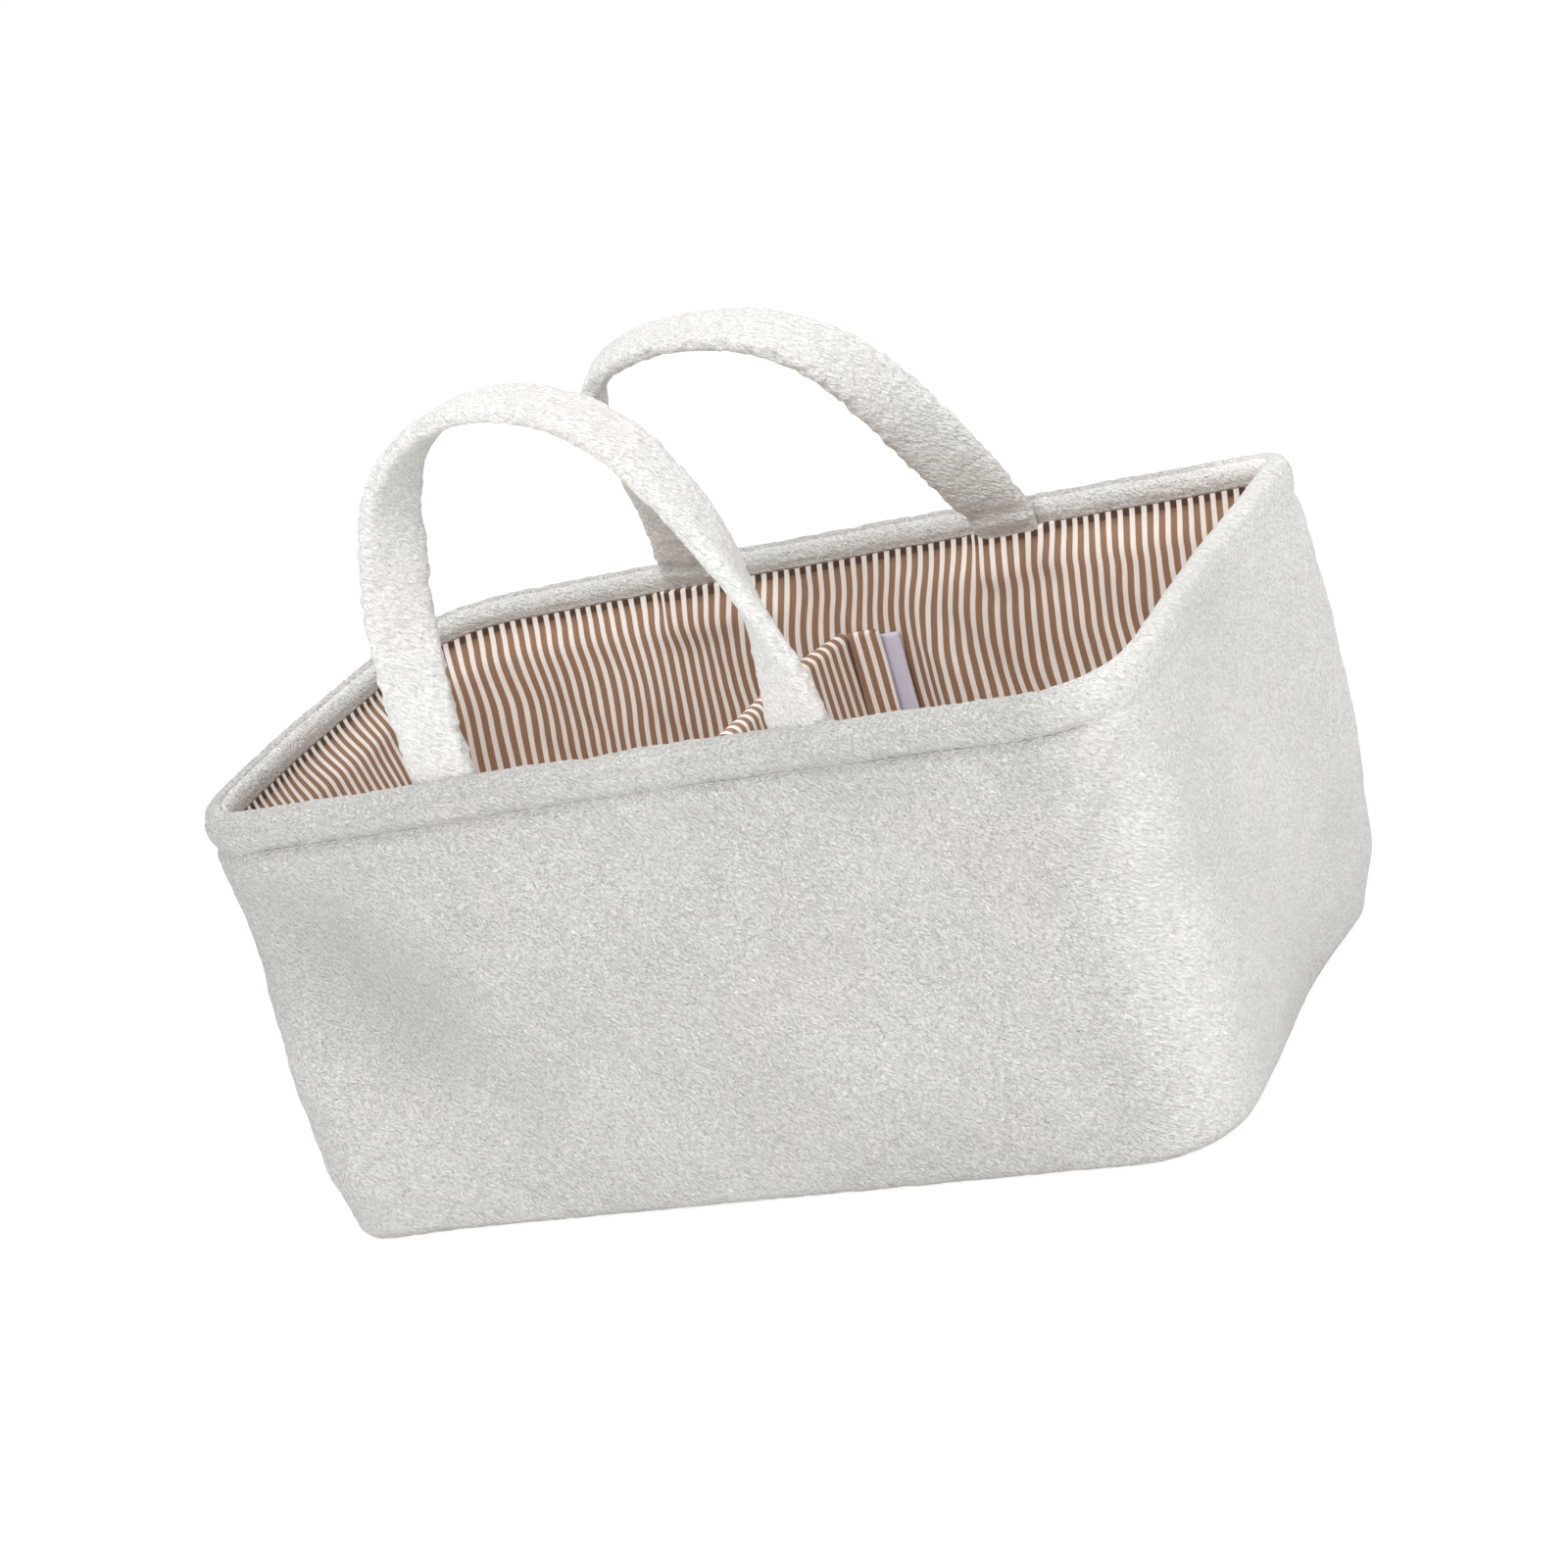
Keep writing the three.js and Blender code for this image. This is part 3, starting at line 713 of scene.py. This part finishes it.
def lining_slack(points):
    slack = bumps(points, LINING_SHAPE)
    slack += 2.2 * (1 + noise(points * [1, 1, 0.6], period=32, seed=41))
    slack += 0.5 * (1 + noise(points * [1, 1, 0.3], period=14, seed=44))
    return slack


def stripe_drift(points):
    """How far the stripes wander, so that they aren't ruled lines."""
    wide = 4.6 * noise(points * [0.4, 0.4, 1], period=44, seed=42)
    return wide + 0.9 * noise(points * [0.8, 0.8, 1], period=19, seed=43)


def build_lining():
    wall = Wall(LINING_SPACING)
    heights = np.concatenate([
        np.linspace(FLOOR_TOP, FLOOR_TOP + 12, 5),
        np.arange(FLOOR_TOP + 15, FACING_BOTTOM - 4.5, LINING_SPACING),
        FACING_BOTTOM + LINING_TOP[:, 0],
    ])
    # The floor ends 2 mm inside the wall's foot, which rounds the corner between them
    floor_edge = wall.ring(LINING_FACE + 2, FLOOR_TOP)[0]
    rows = base_rows(floor_edge, np.linspace(INNERMOST, 1, 24)[:-1], FLOOR_TOP)
    floor_rows = len(rows)
    drifts = [np.zeros(wall.count)] * floor_rows
    for z in heights:
        row, out = wall.ring(LINING_FACE, z)
        hold = smoothstep(FLOOR_TOP, FLOOR_TOP + 25, z)
        hold *= 1 - smoothstep(FACING_BOTTOM - 16, FACING_BOTTOM, z)
        slack = lining_slack(row) * hold * tape_flat(row) + root_swell(row)
        drifts.append(stripe_drift(row))
        rows.append(row - out * slack[:, None])
    top = len(rows)
    # Outer side of the cloth, never seen
    rows += [wall.ring(LINING_DEPTH, z)[0] for z in heights[::-3]]
    under = wall.ring(LINING_DEPTH, FLOOR_TOP)[0]
    rows += base_rows(under, (0.96, 0.5, INNERMOST), FLOOR_TOP - LINING_THICKNESS)
    rows = np.array(rows)
    drifts += [np.zeros(wall.count)] * (len(rows) - top)

    # Painted shade along the lining's top edge, under the facing
    seam_shade_share = np.zeros(rows.shape[:2])
    seam_shade_share[top - len(LINING_TOP): top] = LINING_TOP[:, 1:]
    obj = rows_mesh("basket_lining", rows, attributes={"painted_seam_shade": seam_shade_share})
    add_panel_uvs(obj.data, rows, wall, floor_rows, np.array(drifts))
    nodes = ["lining_front", "lining_back", "lining_left", "lining_right", "lining_base"]
    finish_piece(obj, "stripe", "basket", nodes)


def add_panel_uvs(mesh, rows, wall, floor_rows, drifts):
    """Stripes run straight up each side of the wall and along the base, with seams at the corners."""
    count = wall.count
    uvs = with_centres(rows)[corner_vertices(mesh), :2]
    rows = np.concatenate([rows, rows[:, :1]], 1)
    drifts = np.concatenate([drifts, drifts[:, :1]], 1)
    lengths = np.array([running_length(row[:, :2]) for row in rows])
    # Each column's distance is measured from the middle of its side, where the half of the
    # back left corner that starts the left side still counts as back
    starts = wall.starts
    middle = np.zeros(count, int)
    for k in range(4):
        middle[starts[k]: starts[k + 1]] = (starts[k] + starts[k + 1]) // 2
    middle[starts[3]: starts[3] + wall.corner // 2] = (starts[2] + starts[3]) // 2
    columns = np.arange(count)
    for r in range(floor_rows - 1, len(rows) - 1):
        # The four corners of the faces between this ring and the next, in the faces' own order
        for k, (row, column) in enumerate(((r, 0), (r, 1), (r + 1, 1), (r + 1, 0))):
            corners = slice(4 * r * count + k, 4 * (r + 1) * count, 4)
            place = columns + column
            uvs[corners, 0] = lengths[row][place] - lengths[row][middle] + drifts[row][place]
            uvs[corners, 1] = rows[row][place, 2]
    add_uvs(mesh, uvs * MM)


# Strap handles
STRAP_WIDTH = 25
STRAP_THICKNESS = 8
STRAP_RINGS = 400
STRAP_AROUND = 64
# The pile's height in mm, how much lighter it looks than the basket's, and its relief's share
STRAP_PILE = 0.7
STRAP_SHADE = 0.5
STRAP_NAP = 0.5
# Share of its thickness that a sewn end keeps
PRESSED = 0.28
# The strap bends from this far under the middle of the crest to this far over it
# Centre line: x along the rim from the joint's axis, and height over the rim in the leaning
# plane, both in mm. Twist: height share of the left leg, then of the right one, and degrees.
HANDLES = {
    "front": dict(
        outward=-1, lean=3, axis=FRONT_AXIS,
        line=[(-71.5, -17), (-71.5, 0), (-71.5, 22), (-70, 46), (-66.5, 70), (-61, 92), (-54.5, 110),
              (-44, 124), (-30, 133), (-12, 136.5), (7, 134), (24, 127), (38.5, 115), (50, 99),
              (59.5, 80), (66.5, 60), (71, 40), (73, 20), (73.5, 0), (73.5, -17)],
        left=[(0, 0), (0.15, 6), (0.5, 33), (0.75, 58), (0.9, 80), (1, 90)],
        right=[(0, 0), (0.15, 26), (0.35, 60), (0.5, 80), (0.65, 93), (0.85, 97), (1, 92)]),
    "back": dict(
        outward=1, lean=25, axis=BACK_AXIS,
        line=[(-67.5, -17), (-67.5, 0), (-64.5, 14), (-62.5, 30), (-62.5, 50), (-63, 70), (-62, 91),
              (-55.5, 108.5), (-42.5, 120.5), (-23, 126.5), (0, 127), (19, 121.5), (33.5, 111.5),
              (44.5, 97), (51.5, 81), (57, 63.5), (61.5, 46), (65.5, 29), (68, 13), (68, 0), (68, -17)],
        left=[(0, 0), (0.15, 12), (0.5, 48), (0.8, 84), (1, 110)],
        right=[(0, 0), (0.2, 14), (0.5, 44), (0.8, 84), (1, 110)]),
}


def smooth_curve(points, count):
    """Catmull-Rom curve through the points."""
    chord = running_length(points)
    place = np.linspace(0, chord[-1], count)
    slope = np.gradient(points, chord, axis=0)
    k = np.clip(np.searchsorted(chord, place, side="right") - 1, 0, len(points) - 2)
    span = chord[k + 1] - chord[k]
    t = ((place - chord[k]) / span)[:, None]
    curve = (2 * t ** 3 - 3 * t ** 2 + 1) * points[k] + (-2 * t ** 3 + 3 * t ** 2) * points[k + 1]
    bend = (t ** 3 - 2 * t ** 2 + t) * slope[k] + (t ** 3 - t ** 2) * slope[k + 1]
    return curve + bend * span[:, None]


def strap_line(handle):
    """Even points along the strap's centre line, with its twist in radians at each."""
    curve = smooth_curve(np.array(handle["line"], float), 3000)
    length = running_length(curve)
    even = np.linspace(0, length[-1], STRAP_RINGS)
    x = np.interp(even, length, curve[:, 0])
    z = np.interp(even, length, curve[:, 1])
    top = int(np.argmax(z))
    share = np.clip(z / z[top], 0, 1)
    left = np.interp(share, *np.array(handle["left"]).T)
    right = np.interp(share, *np.array(handle["right"]).T)
    turn = np.where(np.arange(STRAP_RINGS) <= top, left, right)
    for _ in range(60):
        turn[1:-1] = 0.25 * turn[:-2] + 0.5 * turn[1:-1] + 0.25 * turn[2:]
    return x, z, np.radians(turn)


def strap_skin(handle):
    """Rings of points round the upright strap, from the joint's axis, and its pile's shade."""
    x, z, turn = strap_line(handle)
    level = np.zeros(STRAP_RINGS)
    tangent = np.column_stack([np.gradient(x), level, np.gradient(z)])
    tangent /= np.linalg.norm(tangent, axis=1)[:, None]
    inward = np.column_stack([tangent[:, 2], level, -tangent[:, 0]])
    normal = np.array([0.0, -1.0, 0.0]) * np.cos(turn)[:, None] + inward * np.sin(turn)[:, None]
    across = np.cross(normal, tangent)
    # The strap stands off the crest and is pressed flat where it is sewn in
    free = smoothstep(-9, 4, z)
    thickness = STRAP_THICKNESS * (PRESSED + (1 - PRESSED) * free)
    stand_off = CREST_RADIUS + 4.2 - 0.9 * smoothstep(-4, 6, z) - 3.6 * (1 - free)
    place = np.column_stack([x, stand_off, z])

    # Its section is a rounded oblong, drawn as powers of the cosine and the sine
    angle = np.linspace(0, 2 * math.pi, STRAP_AROUND, endpoint=False)
    c, s = np.cos(angle), np.sin(angle)
    wide = np.sign(c) * np.abs(c) ** 0.5 * STRAP_WIDTH / 2
    thick = np.sign(s) * np.abs(s) ** 0.7 / 2 * thickness[:, None]
    rows = place[:, None] + across[:, None] * wide[:, None] + normal[:, None] * thick[..., None]
    outs = across[:, None] * c[:, None] + normal[:, None] * s[:, None]
    # The shift gives the straps a part of the pile's pattern that the basket doesn't show
    height, shade = pile(rows + 500, STRAP_PILE)
    # The curls are longest along the strap's edges
    height *= 0.7 + 0.9 * np.abs(c) ** 4
    lumps = 0.3 * noise(rows, period=14, seed=51)
    return rows + outs * (height + lumps)[..., None], shade


def build_strap(side):
    handle = HANDLES[side]
    rows, shade = strap_skin(handle)
    # Lean about the crest, bending in from the sewn ends
    x, y, up = np.moveaxis(rows, -1, 0)
    lean = math.radians(handle["lean"]) * smoothstep(-9, 20, up)
    c, s = np.cos(lean), np.sin(lean)
    rows = np.stack([x, y * c + up * s, up * c - y * s], -1)
    # The back strap is a mirror image, so its rings go round the other way
    if handle["outward"] > 0:
        rows[..., 1] *= -1
        rows = rows[:, ::-1]
        shade = shade[:, ::-1]
    rows = rows + handle["axis"]
    looks = {"pile": shade + STRAP_SHADE, "nap": np.full(shade.shape, STRAP_NAP)}
    obj = rows_mesh(f"{side}_handle", rows, attributes=looks)
    nodes = [f"{side}_handle_{part}" for part in ("cover", "core", "left_root", "right_root")]
    finish_piece(obj, "fleece", None, nodes)
    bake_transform(obj)


# Divider, its tabs and the tapes
DIVIDER_GAP = 0.3


def back_face(depth, z):
    """y of the back wall at a depth, without its dents."""
    return BASE_HIGH[1] + (RIM_BACK - BASE_HIGH[1]) * np.minimum(z / CREST_Z, 1) - depth


def end_room(z):
    """How far the divider's front end stands back at a height, to pass the rim as it lifts out."""
    return 5.4 * (1 - smoothstep(80, 125, z))


def divider_section(bottom, top):
    """Section's distances from the middle and heights: up the left side, over and down again."""
    side_z = bottom + np.linspace(0, 1, 64)[:-1] * (top - bottom - COVER_HALF)
    side = np.full(len(side_z), COVER_HALF)
    cap = np.linspace(0, math.pi, 13)
    off = np.concatenate([-side, -COVER_HALF * np.cos(cap), side])
    return off, np.concatenate([side_z, top - COVER_HALF + COVER_HALF * np.sin(cap), side_z[::-1]])


def build_divider():
    bottom, top = DIVIDER_LOW[2], DIVIDER_HIGH[2]
    off, z = divider_section(bottom, top)
    # Plan: from the front wall (0) to the back wall (1), on a line between the tabs
    share = np.linspace(0, 1, 90)[:, None]
    x_front = DIVIDER_LOW[0] + COVER_HALF
    x_back = DIVIDER_HIGH[0] - COVER_HALF
    x_line = x_front + (x_back - x_front) * share
    y_front = DIVIDER_LOW[1] + end_room(z)
    y_back = back_face(RIM_THICKNESS + DIVIDER_GAP, z)
    # The front end keeps straight, so that its tab lies flat on the wall
    free = smoothstep(0.06, 0.24, share)
    sway = 3.2 * np.sin(math.pi * share * 1.6 + 0.5) + 1.4 * np.sin(math.pi * share * 4.1)
    sway = sway * smoothstep(bottom, top, z) * np.sin(math.pi * share) ** 0.5 * free
    arch = 2.5 * np.sin(math.pi * share) * smoothstep(bottom + 60, top, z)
    grid = np.zeros((len(share), len(z), 3))
    grid[..., 0] = x_line + off + sway
    grid[..., 1] = y_front + (y_back - y_front) * share
    grid[..., 2] = z + arch
    pad = 0.42 * noise(grid, period=17, seed=61) * smoothstep(bottom, bottom + 15, grid[..., 2])
    grid[..., 0] += pad * np.sign(grid[..., 0] - x_line) * free

    uvs = np.zeros((len(share), len(z), 2))
    uvs[..., 0] = (DIVIDER_HIGH[1] - DIVIDER_LOW[1]) * share * MM
    uvs[..., 1] = running_length(np.column_stack([off, z])) * MM
    obj = rows_mesh("divider", grid, uvs=uvs)
    finish_piece(obj, "stripe", "divider", ["divider_cover", "divider_core"])


PATCH_ROWS = 90
PATCH_COLUMNS = 22
# Width in mm over which a patch thins toward its edges
PATCH_EDGE = 0.8


def slab_patch(name, node, material, body, ripple=0.0, taller=0.0):
    """A thin cloth or tape patch with rounded edges, in the box and lean of its CAD node."""
    low, high = cad_box(node)
    outward = -1 if high[1] < 0 else 1
    points = np.array([vertex.co for vertex in frame["nodes"][node].data.vertices]) / MM
    middle_z = points[:, 2].mean()
    bottom = points[points[:, 2] < middle_z]
    upper = points[points[:, 2] > middle_z]
    thickness = bottom[:, 1].max() - bottom[:, 1].min()

    up = np.linspace(0, 1, PATCH_ROWS)[:, None]
    across = np.linspace(0, 1, PATCH_COLUMNS)
    left = bottom[:, 0].min() + (upper[:, 0].min() - bottom[:, 0].min()) * up
    right = bottom[:, 0].max() + (upper[:, 0].max() - bottom[:, 0].max()) * up
    x = left + (right - left) * across
    y = bottom[:, 1].mean() + (upper[:, 1].mean() - bottom[:, 1].mean()) * up
    z = low[2] + (high[2] + taller - low[2]) * up
    from_end = np.minimum(up, 1 - up) * (high[2] - low[2])
    from_side = np.minimum(across, 1 - across) * (right - left)
    thin = np.minimum(1, np.sqrt(np.minimum(from_side, from_end) / PATCH_EDGE + 0.04))
    half = 0.5 * outward * thickness * thin
    wave = ripple * np.sin(z / 7 + across * 2.1) * across
    grid = np.zeros((PATCH_ROWS, 2 * PATCH_COLUMNS, 3))
    grid[..., 0] = np.concatenate([x, x[:, ::-1]], 1)
    grid[..., 1] = np.concatenate([y + half + wave, (y - half + wave)[:, ::-1]], 1)
    grid[..., 2] = z
    if outward > 0:
        grid = grid[:, ::-1]
    obj = rows_mesh(name, grid, uvs=grid[..., [0, 2]] * MM)
    finish_piece(obj, material, body, [node])


def build_tabs():
    slab_patch("back_tab", "divider_back_tab", "stripe", "back_tab", 0.35, 3.5)
    slab_patch("front_tab", "divider_front_tab", "stripe", "front_tab", 0.35, 3.5)
    slab_patch("back_hooks", "back_hook_tape", "tape", "back_tab")
    slab_patch("front_hooks", "front_hook_tape", "tape", "front_tab")
    slab_patch("back_loops", "back_loop_tape", "tape", "basket", taller=6)
    slab_patch("front_loops", "front_loop_tape", "tape", "basket", taller=6)


# Topstitching of the hem: spacing and length of the stitches, the thread, and their depth
STITCH_PITCH = 4.2
STITCH_LENGTH = 3.0
THREAD_RADIUS = 0.35
THREAD_SIDES = 6
STITCH_DEPTH = 1.4
# Rings of one stitch: share of its length, further depth in mm and share of the radius
STITCH_RINGS = [(0, 0.9, 0.5), (0.25, 0.0, 1.0), (0.75, 0.0, 1.0), (1, 0.9, 0.5)]


def value_at(distance, length, values):
    """Point or direction at a distance along a line, between those at its running lengths."""
    return np.array([np.interp(distance, length, values[:, k]) for k in range(3)])


def thread_ring(mesh, centre, outward, up, radius):
    """Vertices round the thread at one place."""
    ring = []
    for angle in np.arange(THREAD_SIDES) * 2 * math.pi / THREAD_SIDES:
        spoke = outward * math.cos(angle) + up * math.sin(angle)
        ring.append(mesh.verts.new((centre + spoke * radius) * MM))
    return ring


def build_topstitch():
    """Thread of the hem's topstitching, half sunk in its groove."""
    row, out = Wall(STITCH_SPACING).ring(0, STITCH_Z)
    row = row - out * STITCH_DEPTH
    line = np.concatenate([row, row[:1]])
    out = np.concatenate([out, out[:1]])
    length = running_length(line)
    mesh = bmesh.new()
    for at in np.arange(length[-1] // STITCH_PITCH) * STITCH_PITCH:
        outward = value_at(at, length, out)
        tangent = value_at(at + STITCH_LENGTH, length, line) - value_at(at, length, line)
        tangent /= np.linalg.norm(tangent)
        up = np.cross(outward, tangent)
        rings = []
        for share, sink, size in STITCH_RINGS:
            centre = value_at(at + share * STITCH_LENGTH, length, line) - outward * sink
            rings.append(thread_ring(mesh, centre, outward, up, THREAD_RADIUS * size))
        for ring, after in zip(rings, rings[1:]):
            for k in range(THREAD_SIDES):
                beside = (k + 1) % THREAD_SIDES
                mesh.faces.new((ring[k], ring[beside], after[beside], after[k]))
        mesh.faces.new(rings[0][::-1])
        mesh.faces.new(rings[-1])
    bmesh.ops.recalc_face_normals(mesh, faces=mesh.faces)
    data = bpy.data.meshes.new("hem_topstitch")
    mesh.to_mesh(data)
    mesh.free()
    data.shade_smooth()
    finish_piece(link_object("hem_topstitch", data), "thread", "basket")


# Stage: floor, world, lamps and camera
FLOOR_HALF = 9.0
FLOOR_ALBEDO = 0.9
# What the camera sees of the floor directly is mostly an even white
FLOOR_GLOW = 1.1
FLOOR_GLOW_SHARE = 0.8
WORLD_STRENGTH = 0.85
# Name, place and size in metres, and power in watts. Each lamp is aimed at the same point.
LAMPS = [
    ("key", (-0.2, -1.9, 2.2), 1.0, 31),
    ("right", (2.1, -0.4, 1.5), 1.0, 12.5),
    ("top", (0.1, -0.3, 2.3), 1.0, 6.5),
    ("back", (-1.5, 1.8, 1.5), 1.4, 11),
]
LAMP_AIM = Vector((0, 0, 0.1))


def show_camera(tree, plain, white, output, share=1):
    """Camera rays see the white shader, or a share of it, and all other light the plain one."""
    amount = tree.nodes.new("ShaderNodeLightPath").outputs["Is Camera Ray"]
    if share < 1:
        scaled = tree.nodes.new("ShaderNodeMath")
        scaled.operation = "MULTIPLY"
        scaled.inputs[1].default_value = share
        tree.links.new(amount, scaled.inputs[0])
        amount = scaled.outputs[0]
    mix = tree.nodes.new("ShaderNodeMixShader")
    tree.links.new(amount, mix.inputs[0])
    tree.links.new(plain.outputs[0], mix.inputs[1])
    tree.links.new(white.outputs[0], mix.inputs[2])
    tree.links.new(mix.outputs[0], tree.nodes[output].inputs["Surface"])


def build_floor():
    data = bpy.data.meshes.new("floor")
    corners = [(-1, -1, 0), (1, -1, 0), (1, 1, 0), (-1, 1, 0)]
    data.from_pydata([Vector(corner) * FLOOR_HALF for corner in corners], [], [(0, 1, 2, 3)])
    floor = link_object("floor", data)
    material = bpy.data.materials.new("floor_white")
    material.use_nodes = True
    tree = material.node_tree
    plain = tree.nodes["Principled BSDF"]
    plain.inputs["Base Color"].default_value = (FLOOR_ALBEDO, FLOOR_ALBEDO, FLOOR_ALBEDO, 1)
    plain.inputs["Roughness"].default_value = 0.9
    white = tree.nodes.new("ShaderNodeEmission")
    white.inputs["Strength"].default_value = FLOOR_GLOW
    show_camera(tree, plain, white, "Material Output", FLOOR_GLOW_SHARE)
    data.materials.append(material)


def build_world():
    world = bpy.data.worlds.new("studio")
    bpy.context.scene.world = world
    world.use_nodes = True
    tree = world.node_tree
    plain = tree.nodes["Background"]
    white = tree.nodes.new("ShaderNodeBackground")
    for background, strength in ((plain, WORLD_STRENGTH), (white, 1.0)):
        background.inputs["Color"].default_value = (1, 1, 1, 1)
        background.inputs["Strength"].default_value = strength
    show_camera(tree, plain, white, "World Output")


def build_lamps():
    for name, place, size, power in LAMPS:
        light = bpy.data.lights.new(name, "AREA")
        light.shape = "SQUARE"
        light.size = size
        light.energy = power
        lamp = link_object(name, light)
        lamp.location = place
        lamp.rotation_euler = (LAMP_AIM - Vector(place)).to_track_quat("-Z", "Y").to_euler()


def build_camera():
    azimuth, elevation, roll = (math.radians(v) for v in (AZIMUTH, ELEVATION, ROLL))
    level = math.cos(elevation)
    back = Vector((math.sin(azimuth) * level, -math.cos(azimuth) * level, math.sin(elevation)))
    forward = -back
    right = forward.cross(Vector((0, 0, 1))).normalized()
    up = right.cross(forward)
    rolled_right = right * math.cos(roll) + up * math.sin(roll)
    rolled_up = -right * math.sin(roll) + up * math.cos(roll)
    data = bpy.data.cameras.new("camera")
    data.lens = LENS
    data.sensor_width = SENSOR
    data.clip_end = 50
    camera = link_object("camera", data)
    place = (Vector(TARGET) + back * DISTANCE) * MM
    turn = Matrix((rolled_right, rolled_up, back)).transposed().to_4x4()
    camera.matrix_world = Matrix.Translation(place) @ turn
    bpy.context.scene.camera = camera


bpy.context.scene.view_settings.view_transform = "Standard"
build_camera()
build_floor()
build_world()
build_lamps()
build_outer()
build_padding()
build_lining()
build_strap("front")
build_strap("back")
build_divider()
build_tabs()
build_topstitch()
